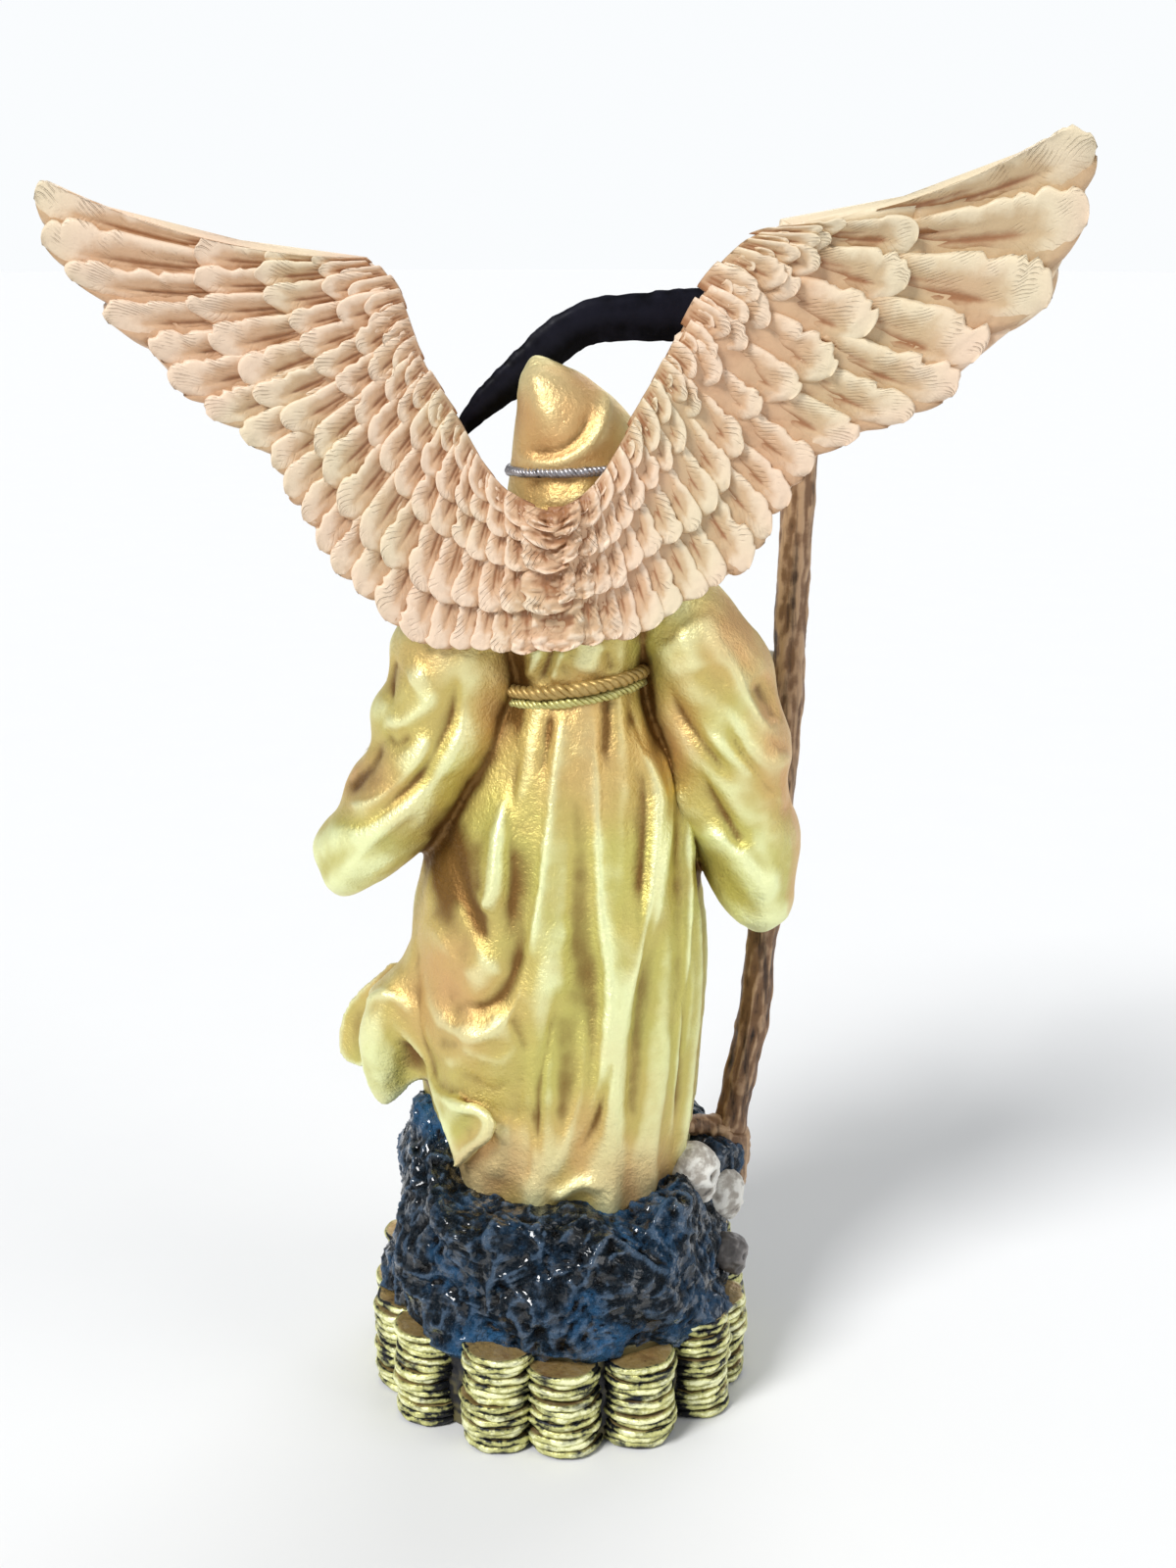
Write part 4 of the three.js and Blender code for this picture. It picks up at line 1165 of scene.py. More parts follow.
@dataclass
class GoldCasting:
    """The robe, hem, sleeves and hood cast as one skin, with the folds carved into it.

    The ripple is the height and length of the cloth's fine waves, and relief the rounds and depth that the paint
    goes by. Warmth is the bronze in the paint: everywhere, in patches in front, and at the right side's edge, where
    it is a painted warm reflection.
    """

    cell: float = 0.85
    settling: int = 3
    ripple: tuple[float, float] = (0.22, 7.0)
    relief: tuple[int, float] = (70, 1.36)
    warmth: float = 0.2
    front_warmth: float = 0.35
    side_reflection_warmth: float = 0.9
    robe: Robe = field(default_factory=Robe)
    hem: WindblownHem = field(default_factory=WindblownHem)
    hood: Hood = field(default_factory=Hood)

    def carve(self, skin: Surface) -> Surface:
        """Raises and lowers the cloth along its normals by every fold, where it faces the view from behind."""
        normals = Surface(skin.smoothed(6), skin.faces).normals()
        seen = VIEW.seen(skin.points)
        facing = ramp(VIEW.facing(skin.points, normals), 0.05, 0.4)
        lift = sum(fold.lift(seen) for fold in ROBE_FOLDS + SLEEVE_FOLDS + HOOD_FOLDS)
        ripple = self.ripple[0] * NOISE.layered(skin.points, self.ripple[1], 3)
        skin.points = skin.points + (lift * facing + ripple)[:, None] * normals
        return skin

    def build(self) -> None:
        """The casting, carved, with its paint's warmth and relief, and the painted shade and painted light of the shade
        patches.
        """
        parts = [self.robe.skin(), LEFT_SLEEVE.skin(), RIGHT_SLEEVE.skin(), self.hood.skin(), *self.hem.skins()]
        skin = cast_in_one(parts, self.cell)
        skin.points = skin.smoothed(self.settling)
        skin = self.carve(skin)
        skin.points = skin.smoothed(1, 0.35)
        skin.mark_relief(*self.relief)
        seen = VIEW.seen(skin.points)
        facing = ramp(VIEW.facing(skin.points, skin.normals()), -0.1, 0.3)
        tint = sum(patch.at(seen) for patch in TINTS)
        elsewhere = self.front_warmth * NOISE.layered(skin.points, 34.0, 2)
        # Bronze where the cloth faces the figure's right: a painted warm reflection.
        side = ramp(-skin.normals()[:, 0], 0.75, 0.98) * ramp(-skin.points[:, 0], 40.0, 50.0)
        skin.values["warmth"] = self.warmth + tint * facing + elsewhere * (1 - facing) + self.side_reflection_warmth * side
        # Shade patches lower the relief as painted shade; those below 0 raise it as painted light on the hem.
        skin.values["relief"] = skin.values["relief"] - facing * sum(patch.at(seen) for patch in SHADES)
        dress(skin.made("gold_robe"), GOLD)


@dataclass
class Rope:
    """A twisted rope or braid: strands that wind round a path, each a helix, thicker and thinner by noise."""

    name: str
    finish: Finish
    path: Array
    strand_radius: float
    winding: float
    pitch: float
    strands: int = 3
    columns: int = 8

    def build(self) -> None:
        """Each strand's middle: path + winding x (side cos p + up sin p), with p a turn for each pitch of length."""
        step = np.linalg.norm(np.diff(self.path, axis=0), axis=1)
        run = np.concatenate([[0], np.cumsum(step)])
        ahead = unit(np.gradient(self.path, axis=0))
        side = unit(np.cross((0.0, 0.0, 1.0), ahead))
        up = np.cross(ahead, side)
        parts = []
        for strand in range(self.strands):
            turn = (TURN * (run / self.pitch + strand / self.strands))[:, None]
            middle = self.path + self.winding * (side * np.cos(turn) + up * np.sin(turn))
            wobble = 1 + 0.35 * NOISE.at(middle, 2.2)
            parts.append(tube(middle, self.strand_radius * wobble, self.columns, (0, 0, 1)))
        rope = Surface.joined(parts).mark_relief(5, 0.2)
        dress(rope.made(self.name), self.finish)


@dataclass
class Girdle:
    """The two ropes of the belt and the silver braid round the hood."""

    robe: Robe = field(default_factory=Robe)
    hood: Hood = field(default_factory=Hood)
    tilt: float = -0.14
    tilt_middle: float = -4.0
    braid_height: float = 167.3
    braid_ends: tuple[float, float] = (-28.0, 208.0)

    def belt_path(self, rise: float, out: float) -> Array:
        """The waist's oval, higher on the figure's right: z = belt + rise + tilt (x - middle)."""
        angle = np.linspace(0, TURN, 700)
        path = self.robe.reach_at(angle, ROCK_TOP + BELT, out)
        path[:, 2] += rise + self.tilt * (path[:, 0] - self.tilt_middle)
        return path

    def build(self) -> None:
        """Makes the ropes, and the braid at z = height + sin a / 2 - 0.7 cos a on the hood."""
        brown, gold = self.belt_path(0.5, 1.0), self.belt_path(-2.4, 0.5)
        Rope("belt_rope_brown", ROPE_BROWN, brown, strand_radius=0.82, winding=0.84, pitch=5.6).build()
        Rope("belt_rope_gold", ROPE_GOLD, gold, strand_radius=0.6, winding=0.6, pitch=4.2).build()
        angle = np.linspace(*np.radians(self.braid_ends), 420)
        path = self.hood.ring(angle, self.braid_height + 0.5 * np.sin(angle) - 0.7 * np.cos(angle))
        Rope("hood_braid", SILVER, path, strand_radius=0.58, winding=0.58, pitch=3.2, columns=6).build()


@dataclass
class FeatherRow:
    """One row of a wing: each feather's tip as (s, f), s along the wing from its middle and f from arm to edge.

    Root is the f that the feathers start at, level how high they lie, and crown how far they are domed.
    """

    tips: list[tuple[float, float]]
    root: float
    level: float
    crown: float


@dataclass
class Wing:
    """One wing: a fan of lines from its arm to its trailing edge, each from (x, z) to (x, z), with rows of feathers.

    Overlap is how far a feather passes its share of the row, bend how far its tip leans and nick how deep its edge
    is chipped, in half widths. Full_width is the half width at which its relief has its whole height, chip_pitch
    the length between chips, and ragged how uneven the inner rows start.
    """

    side: str
    mirror: float
    sweep: float
    fan: list[tuple[tuple[float, float], tuple[float, float]]]
    rows: list[FeatherRow]
    seat: float = 16.0
    droop: float = 16.0
    rise: float = 3.2
    ragged: float = 1.0
    overlap: float = 1.42
    bend: float = 0.16
    nick: float = 0.26
    full_width: float = 5.5
    chip_pitch: float = 2.1

    def place(self, s: Array, f: Array, height: Array | float) -> Array:
        """A place on the wing: the line at s from arm to edge, sagging by droop f (1 - f) s^2.

        It sweeps back by sweep s^2 (0.4 + 0.6 f), and stands further out by rise where the wings meet. Below 0, s
        runs on across the middle.
        """
        lines = np.asarray(self.fan, float)
        arm, edge = along(lines[:, 0], np.abs(s)), along(lines[:, 1], np.abs(s))
        line = arm + (edge - arm) * f[..., None]
        back = self.seat + self.rise * bump(s, 0.09) + self.sweep * s**2 * (0.4 + 0.6 * f) + height
        x = self.mirror * np.sign(s) * line[..., 0]
        return drawn(np.stack([x, back, line[..., 1] - self.droop * f * (1 - f) * s**2], -1))

    @staticmethod
    def rounding(v: Array, stout: Array, near: Array) -> Array:
        """How the width falls at a tip: sqrt(1 - t^(2.1 + 1.4 near)), with t from 0 where the tip starts to 1.

        Args:
            v: shares of the length.
            stout: half width over length, for each feather.
            near: 1 by the wings' middle, where tips are blunter, and 0 away from it.

        Returns:
            Shares of the whole width.
        """
        blunt = np.clip(1 - 1.3 * stout, 0.25, 0.93)
        blunt = blunt + (0.96 - blunt) * 0.45 * near
        t = np.clip((v - blunt) / (1 - blunt), 0, 1)
        return np.sqrt(np.clip(1 - t ** (2.1 + 1.4 * near), 0.0016, 1))

    @staticmethod
    def grooves(v: Array, across: Array) -> Array:
        """The shaft's groove and a shorter one on each side: bells across the feather that end before its tip."""
        lines = ((0.0, 1.0, 0.95, 0.6), (-0.3, 0.8, 0.75, 0.5), (0.3, 0.6, 0.6, 0.35))
        return sum(deep * bump(across - at, 0.1) * ramp(v, end, start) for at, deep, end, start in lines)

    def feathers(self, row: FeatherRow, seed: int, back: float = 1.0) -> Surface:
        """The row's feathers, each a closed shell: crowned across, tilted so that it lies on the next one out.

        On a feather v runs from root to tip, and across from 1 to -1 over its top and back underneath. Its half
        width is taper x rounding x nick of the whole, its middle bends by v^2, and its height is lie + dome - shaft
        - shelf. The paint's relief follows these forms as painted shade and painted highlight.

        Args:
            row: the row's tips and heights.
            seed: sets the uneven edges and lengths.
            back: 1 for the wing's back, or -1 for its front.

        Returns:
            The feathers as one surface, with their "relief", their "comb" and the map that their barbs follow.
        """
        rng = np.random.default_rng(seed)
        s, f = np.asarray(row.tips).T
        count, columns = len(s), 21
        between = (s[:-1] + s[1:]) / 2
        top = np.concatenate([[min(1.0, s[0] + (s[0] - between[0]))], between])
        low = np.concatenate([between, [-0.012]])
        middle = (top + low) / 2
        half = (top - low) / 2 * (self.overlap + 0.22 * ramp(middle, 0.45, 0.7))
        near, innermost = each(ramp(middle, 0.42, 0.12)), each(ramp(middle, 0.14, 0.03))
        v = (1 - (1 - np.linspace(0, 1, 32)) ** 1.5)[:, None]
        across = np.concatenate([np.linspace(1, -1, columns), [-0.7, 0.0, 0.7]])
        upper = np.arange(len(across)) < columns
        mid_line = self.place(middle[:, None], np.linspace(0, 1, 9)[None] * f[:, None], 0.0)
        length = np.linalg.norm(np.diff(mid_line, axis=1), axis=-1).sum(1) * (1 - row.root / f)
        side = self.place(middle + half, f * 0.8, 0.0) - self.place(middle - half, f * 0.8, 0.0)
        width = np.linalg.norm(side, axis=-1) / 2
        rounding = self.rounding(v, each(width / length), near)
        key = (each(np.arange(count)) * 7.3 + seed, v * each(length) / self.chip_pitch, np.sign(across) * 9.0)
        chips = np.clip(NOISE.layered(coordinates(*key), 1.0, 2), 0, 1)
        taper = (0.92 + 0.08 * ramp(v, 0, 0.4)) * rounding * (1 - self.nick * chips * ramp(v, 0.2, 0.6))
        bend = (each(rng.uniform(-self.bend, self.bend, count)) - 0.1) * each(half) * v**2
        root = row.root + self.ragged * each(rng.uniform(-0.035, 0.01, count)) * (row.root < 0)
        reach = root + (each(f) - root) * v
        size = each(np.clip(width / self.full_width, 0.45, 1.15))
        dome = (1 - np.abs(across) ** 5) ** 0.55 * row.crown * 0.6 * size
        hollow = 0.35 * size * bump(across - 0.2, 0.4) * ramp(v, 0.95, 0.6)
        shaft = 0.55 * size * self.grooves(v, across) * ramp(v, 0.02, 0.2) + hollow
        shelf = 0.35 * size * ramp(across, 0.1, -0.3) * ramp(v, 0.9, 0.5)
        lie = row.level + (1.3 - 0.45 * near) * size * across - ramp(v, 0.3, 0)
        height = lie + np.where(upper, dome - shaft - shelf, -1.5) * (0.45 + 0.55 * rounding)
        key = coordinates(each(middle) * 90, reach * 40, across * 3)
        rough = NOISE.layered(key, 1.3, 2) * (0.14 + 0.5 * each(ramp(middle, 0.13, 0.02)))
        along_wing = each(middle) + bend + each(half) * taper * across
        place = self.place(along_wing, reach + 0 * along_wing, back * (height + rough))
        # Painted light and shade in the relief: shade at the roots under the row above, in the grooves, on the shelf,
        # along the lower edge and on the undersides; highlight towards the upper edge and the tip. Rough adds uneven
        # tone, and the wing's middle is made darker.
        under = 0.8 if row.root > 0 else 0.1
        paint = 0.25 + 0.45 * across - under * ramp(v, 0.4, 0.05) - 1.25 * shaft / size - 0.6 * shelf / size
        paint = paint - 0.4 * ramp(across, -0.4, -0.85) + 0.5 * ramp(v, 0.6, 1) + 0.8 * rough
        paint = np.clip(np.where(upper, paint - 0.45 * innermost, -0.15), -1, 1)
        comb = np.where(upper, ramp(across, 0.0, 0.5) + 0.35 * ramp(v, 0.45, 0.8), 0)
        shape = place.shape[:-1]
        fibre = [np.broadcast_to(value * MM, shape) for value in (across * each(width), v * each(length))]
        values = {"relief": np.broadcast_to(paint, shape), "comb": np.broadcast_to(comb, shape)}
        return Surface.lofts(place, values, np.stack(fibre, -1))

    def build(self) -> None:
        """All rows on the back of the wing."""
        rows = [self.feathers(row, 11 * number + int(self.mirror) + 1) for number, row in enumerate(self.rows)]
        dress(Surface.joined(rows).made(f"feathers_{self.side}"), FEATHER, Solid.WINGS)

    def build_front(self) -> None:
        """Two plainer rows of shallow feathers on the front of the wing."""
        outer = FeatherRow(self.rows[0].tips, 0.42, 0.25, 0.7)
        inner = FeatherRow([(s, 0.55) for s in np.linspace(0.96, 0.06, 13)], 0.04, 0.9, 0.7)
        rows = [self.feathers(outer, 71, -1.0), self.feathers(inner, 72, -1.0)]
        dress(Surface.joined(rows).made(f"front_feathers_{self.side}"), FEATHER, Solid.WINGS)


LEFT_WING = Wing(
    "left", 1.0, 6.0,
    [((0, 158.5), (0, 129.5)), ((9.6, 162), (16.4, 128.3)), ((16.5, 169), (31, 131.5)), ((21.7, 178), (45, 144.5)),
     ((26.8, 186), (54.5, 156.5)), ((30.4, 193), (63, 172.5)), ((33.4, 200), (79.5, 185)), ((36, 206), (94.5, 202)),
     ((39.4, 211), (105.8, 214.7)), ((41.3, 213.5), (106.4, 229.6))],
    [
        FeatherRow(pairs("""
            0.978,1.01 0.91,1.0 0.83,0.99 0.768,1.02 0.72,0.955 0.677,1.0 0.628,1.01 0.578,1.02 0.537,1.0
            0.5,1.01 0.455,0.985 0.41,1.01 0.36,1.03 0.315,1.02 0.275,1.02 0.225,1.02 0.182,1.01 0.147,0.99
            0.116,0.98 0.083,0.99 0.048,1.01 0.015,1.0
        """), 0.3, 1.4, 1.5),
        FeatherRow([(0.943, 0.52), (0.855, 0.555), (0.785, 0.665), (0.73, 0.705), (0.672, 0.705), (0.62, 0.75),
                    (0.573, 0.775), (0.527, 0.73), (0.475, 0.755), (0.41, 0.785), (0.35, 0.8), (0.3, 0.78),
                    (0.255, 0.75), (0.208, 0.74), (0.16, 0.715), (0.115, 0.715), (0.075, 0.7), (0.035, 0.71)],
                   0.16, 3.0, 1.4),
        FeatherRow(pairs("""
            0.985,0.295 0.895,0.345 0.8,0.38 0.74,0.37 0.69,0.395 0.64,0.41 0.585,0.4 0.525,0.425 0.463,0.42
            0.41,0.44 0.35,0.455 0.302,0.465 0.255,0.43 0.208,0.4 0.162,0.42 0.12,0.4 0.08,0.41 0.04,0.4
        """), 0.04, 4.5, 1.2),
        FeatherRow(pairs("""
            0.985,0.145 0.905,0.14 0.815,0.17 0.73,0.185 0.65,0.195 0.583,0.23 0.515,0.215 0.45,0.21 0.385,0.235
            0.33,0.27 0.278,0.27 0.23,0.235 0.18,0.21 0.135,0.225 0.09,0.2 0.045,0.21
        """), -0.02, 5.7, 1.0),
        FeatherRow([(s, 0.085 + 0.02 * (k % 2)) for k, s in enumerate(np.linspace(0.86, 0.03, 15))], -0.05, 6.3, 0.8),
        FeatherRow([(s, 0.03 + 0.015 * (k % 2)) for k, s in enumerate(np.linspace(0.88, 0.04, 26))], -0.03, 5.9, 0.9),
    ],
    ragged=0.4,
)
RIGHT_WING = Wing(
    "right", -1.0, 13.0,
    [((0, 158.5), (0, 129.5)), ((7.6, 162.5), (16, 132)), ((12.8, 170), (28, 139.5)), ((18.2, 178.5), (40, 146)),
     ((22.9, 186.5), (49.5, 161)), ((26.9, 194), (60, 173.5)), ((31.5, 201.5), (76, 180)), ((35.5, 207.5), (88, 190)),
     ((42, 214.3), (104, 206)), ((46.2, 218), (111, 227)), ((50.2, 220.3), (108, 242))],
    [
        FeatherRow(pairs("""
            0.955,0.995 0.873,0.99 0.8,1.0 0.723,0.96 0.657,1.02 0.588,0.99 0.51,1.01 0.45,0.995 0.405,1.01
            0.362,1.02 0.318,1.02 0.265,0.98 0.222,1.01 0.182,1.02 0.14,1.03 0.106,1.02 0.077,0.985 0.05,1.0
            0.02,1.01
        """), 0.28, 1.4, 1.6),
        FeatherRow(pairs("""
            0.893,0.45 0.795,0.5 0.72,0.535 0.63,0.565 0.545,0.565 0.48,0.53 0.42,0.59 0.37,0.64 0.323,0.64
            0.283,0.635 0.24,0.62 0.19,0.61 0.15,0.6 0.113,0.64 0.078,0.63 0.045,0.635 0.012,0.64
        """), 0.1, 3.0, 1.4),
        FeatherRow(pairs("""
            0.95,0.19 0.885,0.18 0.81,0.2 0.74,0.21 0.67,0.22 0.575,0.215 0.49,0.24 0.41,0.25 0.352,0.285
            0.305,0.285 0.26,0.285 0.212,0.31 0.168,0.34 0.133,0.35 0.1,0.35 0.068,0.335 0.035,0.33
        """), -0.02, 4.6, 1.2),
        FeatherRow([(s, 0.12 + 0.025 * (k % 2)) for k, s in enumerate(np.linspace(0.93, 0.03, 17))], -0.05, 5.9, 0.9),
        FeatherRow([(s, 0.035 + 0.02 * (k % 2)) for k, s in enumerate(np.linspace(0.9, 0.04, 26))], -0.03, 5.7, 0.9),
    ],
)


@dataclass
class WingCore:
    """The body of the wings under the feathers: a section swept from one wing's end through the middle to the other's.

    The section runs round through points (f, height). Knobs are how lumpy the left and the right arm are. The
    arms' paint is lifted as painted light, since they lie in shade.
    """

    section: Points = rows_field([
        (0.0, 0.2), (-0.03, 1.6), (-0.02, 3.6), (0.03, 5.4), (0.1, 5.3), (0.2, 4.4), (0.45, 2.8), (0.7, 1.5),
        (0.94, 0.9), (0.955, 0.5), (0.94, 0.1), (0.7, 0.0), (0.45, 0.0), (0.2, 0.0), (0.05, 0.0),
    ])
    knobs: tuple[float, float] = (0.6, 1.7)
    arm_painted_light: float = 0.9

    def build(self) -> None:
        """The section on both wings' lines, the left wing's rings first, moved by layered noise along the arms."""
        points = np.asarray(self.section)
        loop = along(np.concatenate([points, points[:1]]), np.linspace(0, 1, 64, endpoint=False))
        rings, arms = [], []
        for wing, shares in ((LEFT_WING, np.linspace(0.985, 0, 90)), (RIGHT_WING, np.linspace(0.01, 0.985, 90))):
            s, f = grid_of(shares, loop[:, 0])
            height = np.broadcast_to(loop[:, 1], s.shape) * (1 - 0.35 * ramp(s, 0.6, 1.0))
            rings.append(wing.place(s, f, height))
            arms.append(ramp(f, 0.08, 0.0))
        core = Surface.lofts(np.concatenate(rings), {"arm": np.concatenate(arms)})
        x_push, z_push = (NOISE.layered(core.points + offset, 4.5, 2) for offset in (31.0, 67.0))
        uneven = np.where(core.points[:, 0] < 0, self.knobs[1], self.knobs[0]) * core.values["arm"]
        core.points = core.points + 0.12 * NOISE.layered(core.points, 3.0, 2)[:, None]
        core.points = core.points + uneven[:, None] * np.stack([x_push, 0 * x_push, z_push], -1)
        core.uv = core.points[:, [0, 2]] * MM
        core.mark_relief(20, 0.6)
        # Painted light along the arms, which lie in shade.
        core.values["relief"] += self.arm_painted_light * core.values.pop("arm")
        dress(core.made("wing_core"), FEATHER, Solid.WINGS)


SHAFT_PATH = [
    (-42.5, -14, -6), (-47.3, -15.5, 21), (-50.3, -17, 48), (-54, -19, 84), (-55.6, -20.5, 119), (-57, -22.5, 164),
    (-57.5, -24, 201),
]


@dataclass
class Scythe:
    """The scythe: a wooden shaft and a black curved blade.

    Knots are (share of the shaft, swelling). The blade's rows are x, y, z and the share of its width.
    """

    shaft_radius: float = 3.85
    knots: Points = rows_field([
        (0.03, 0.16), (0.115, 0.1), (0.2, 0.09), (0.36, 0.05), (0.63, 0.05), (0.8, 0.05),
    ])
    flutes: float = 0.07
    lean: float = 0.5
    foot_shade: float = 0.28
    blade: Points = rows_field([
        (-60.5, -24, 195, 0.9), (-46, -18, 201.5, 1), (-29, -12, 200, 1), (-7, -9.5, 198.3, 0.86),
        (6.3, -9.5, 188.9, 0.8), (18, -9.5, 179, 0.5), (26, -9.5, 169, 0.05),
    ])
    blade_width: float = 11.5
    blade_thickness: float = 3.0

    def shaft(self) -> Surface:
        """A bar whose radius swells at the knots and is fluted by ridged noise stretched along it."""
        t = np.linspace(0, 1, 300)
        path = drawn(along(SHAFT_PATH, t))
        a = around(44)
        swell = sum(size * bump(t - at, 0.018) for at, size in self.knots)
        place = coordinates(np.cos(a) * 3, np.sin(a) * 3, path[:, 2, None] / 9)
        flute = self.flutes * NOISE.ridged(place, 1.6, 2) + 0.05 * NOISE.at(place * (1, 1, 3), 1.0)
        lean = self.lean * np.stack([NOISE.at(path, 17.0), NOISE.at(path + 90.0, 17.0), 0 * t], -1)
        radius = self.shaft_radius * (0.97 + swell[:, None] + flute)
        return tube(path + lean, radius, 44)

    def edge(self) -> Surface:
        """The blade: a lens section, thick at the back and sharp at the inner edge, carried along its curve."""
        t = np.linspace(0, 1, 170)
        line = along(self.blade, t)
        path, share = line[:, :3], line[:, 3]
        ahead = unit(np.gradient(path, axis=0))
        outward = unit(np.cross((0.0, -1.0, 0.0), ahead))
        flat = np.cross(ahead, outward)
        a = around(40)
        across = np.sign(np.cos(a)) * np.abs(np.cos(a)) ** 0.8
        thick = np.sin(a) * (0.16 + 0.84 * ramp(across, -1.0, 0.25)) * (1 - 0.2 * ramp(across, 0.7, 1))
        half = self.blade_width / 2 * share[:, None]
        key = coordinates(t[:, None] * 60, across * 2, 0.0)
        chip = 1 + 0.05 * NOISE.layered(key, 1.2, 2)
        depth = self.blade_thickness / 2 * np.minimum(1, half / 3)
        ring = path[:, None] + outward[:, None] * (half * across * chip)[..., None]
        return Surface.lofts(drawn(ring + flat[:, None] * (depth * thick * chip)[..., None]))

    def build(self) -> None:
        """Makes the shaft, darker towards its foot, and the blade."""
        shaft = self.shaft().mark_relief(14, 0.35)
        shaft.values["relief"] += self.foot_shade * (ramp(shaft.points[:, 2], 90.0, 150.0) - 1)
        dress(shaft.made("scythe_shaft"), SHAFT_WOOD, Solid.SCYTHE)
        dress(self.edge().mark_relief(24, 0.5).made("scythe_blade"), BLADE_BLACK, Solid.SCYTHE)


@dataclass
class RootStub:
    """The gnarled root that the shaft's foot stands in, with the branch that joins it to the robe.

    Both are rows of x, y, z and radius.
    """

    gnarl: float = 0.42
    socket: Points = rows_field([
        (-38.5, -14, -17, 8.8), (-40.5, -14, -10, 7.4), (-42, -14, -4, 6.2), (-42.9, -14.2, -0.5, 5.4),
    ])
    branch: Points = rows_field([
        (-25, -6, 1.5, 3.0), (-31, -8, 1.8, 2.7), (-37, -11, 0, 3.0), (-42.5, -13, -3.5, 4.2), (-45, -14, -9, 3.4),
        (-44, -14, -15, 2.4),
    ])

    def build(self) -> None:
        """Two limbs, roughened by ridged noise along their normals."""
        parts = [limb(self.socket, 48, 60), limb(self.branch, 36, 90)]
        root = Surface.joined(parts)
        root.points = drawn(root.points)
        ridges = NOISE.ridged(root.points, 4.5, 3) - 0.6
        root.points = root.points + self.gnarl * ridges[:, None] * root.normals()
        dress(root.mark_relief(20, 0.6).made("root_stub"), SHAFT_WOOD)


SKULL_FORMS = {
    "eye sockets": (0.36, -0.02, 0.17, 0.18, -0.42),
    "brows": (0.34, 0.24, 0.28, 0.09, 0.06),
    "cheekbones": (0.56, -0.3, 0.17, 0.1, 0.09),
    "hollow cheeks": (0.5, -0.56, 0.18, 0.14, -0.1),
}


def skull(rings: int, columns: int) -> Surface:
    """A plain skull of unit size that looks along -Y, from the unit ball.

    The jaw is drawn down and narrowed in front. The forms are bells raised from the front or pressed into it, each
    at (+-x, z) with a half width, half height and push. The nose widens downwards, and the teeth are |cos 26x|.
    """
    b, a = grid_of(np.linspace(0.03, math.pi - 0.03, rings), around(columns))
    x, y, z = np.cos(a) * np.sin(b), np.sin(a) * np.sin(b), -np.cos(b)
    front = ramp(-y, -0.25, 0.6)
    jaw = ramp(-z, 0.1, 0.95)
    wide = np.abs(x)
    forms = sum(
        push * bump(np.hypot((wide - at) / half_width, (z - up) / half_height), 1.0)
        for at, up, half_width, half_height, push in SKULL_FORMS.values()
    )
    nose = bump(np.hypot(wide / (0.13 + 0.1 * np.clip(-z - 0.2, 0, 0.3)), (z + 0.36) / 0.13), 1.0)
    mouth = ramp(z, -0.5, -0.58) * ramp(z, -0.88, -0.8) * ramp(wide, 0.42, 0.3)
    teeth = mouth * (0.035 * np.abs(np.cos(x * 26)) - 0.07 * bump(z + 0.69, 0.022))
    scale = np.stack([
        0.8 - 0.24 * front * jaw - 0.1 * ramp(wide, 0.6, 1) * front,
        np.where(y > 0, 1.0 - 0.35 * jaw, 0.92 + 0.04 * jaw),
        0.92 + 0.36 * jaw * front,
    ], -1)
    points = np.stack([x, y, z], -1) * scale
    points[..., 1] -= (forms - 0.3 * nose + teeth) * ramp(-y, 0.0, 0.3)
    return Surface.lofts(points)


def turned(points: Array, angle: float) -> Array:
    """Points turned about Z by an angle in degrees."""
    c, s = math.cos(math.radians(angle)), math.sin(math.radians(angle))
    return points @ np.array([[c, s, 0], [-s, c, 0], [0, 0, 1]])


@dataclass(frozen=True)
class RockSkull:
    """A small skull on the rock: angle round the base, inset from its edge, share of the height from coins to hem."""

    angle: float
    inset: float
    up: float
    radius: float
    turn: float
    dark: bool = False

    def skin(self) -> Surface:
        """The skull, cracked a little, turned to look outwards and set on the rock."""
        head = skull(46, 64)
        head.points = head.points * self.radius
        cracks = NOISE.layered(head.points + self.angle, 2.6, 3)
        head.points = head.points + 0.22 * cracks[:, None] * head.normals()
        a = math.radians(self.angle)
        reach = oval_reach(a, self.inset)
        place = (reach * math.cos(a), reach * math.sin(a), COIN_HEIGHT + self.up * (ROCK_TOP - COIN_HEIGHT))
        head.points = turned(head.points, self.turn + 90) + np.array(place)
        return head.turned_out().mark_relief(14, 0.35)


@dataclass
class Skulls:
    """The head in the hood and the small skulls on the rock."""

    head_place: Triple = (-5.0, -7.0, 168.0)
    head_radius: float = 9.4
    on_rock: tuple[RockSkull, ...] = (
        RockSkull(165, 13, 0.93, 7.5, 165),
        RockSkull(183, 6, 0.56, 7, 190),
        RockSkull(172, 4, 0.16, 5.5, 170, dark=True),
        RockSkull(245, 8, 0.6, 8.5, 258),
        RockSkull(278, 8, 0.42, 9, 276),
    )

    def build(self) -> None:
        """Makes the head and the pale and dark skulls."""
        head = skull(150, 200)
        head.points = drawn(head.points * self.head_radius + np.array(self.head_place))
        dress(head.mark_relief(40, 0.6).made("skull_head"), BONE)
        for name, finish, dark in (("skulls_pale", BONE, False), ("skulls_dark", DARK_BONE, True)):
            group = [one.skin() for one in self.on_rock if one.dark == dark]
            dress(Surface.joined(group).made(name), finish)


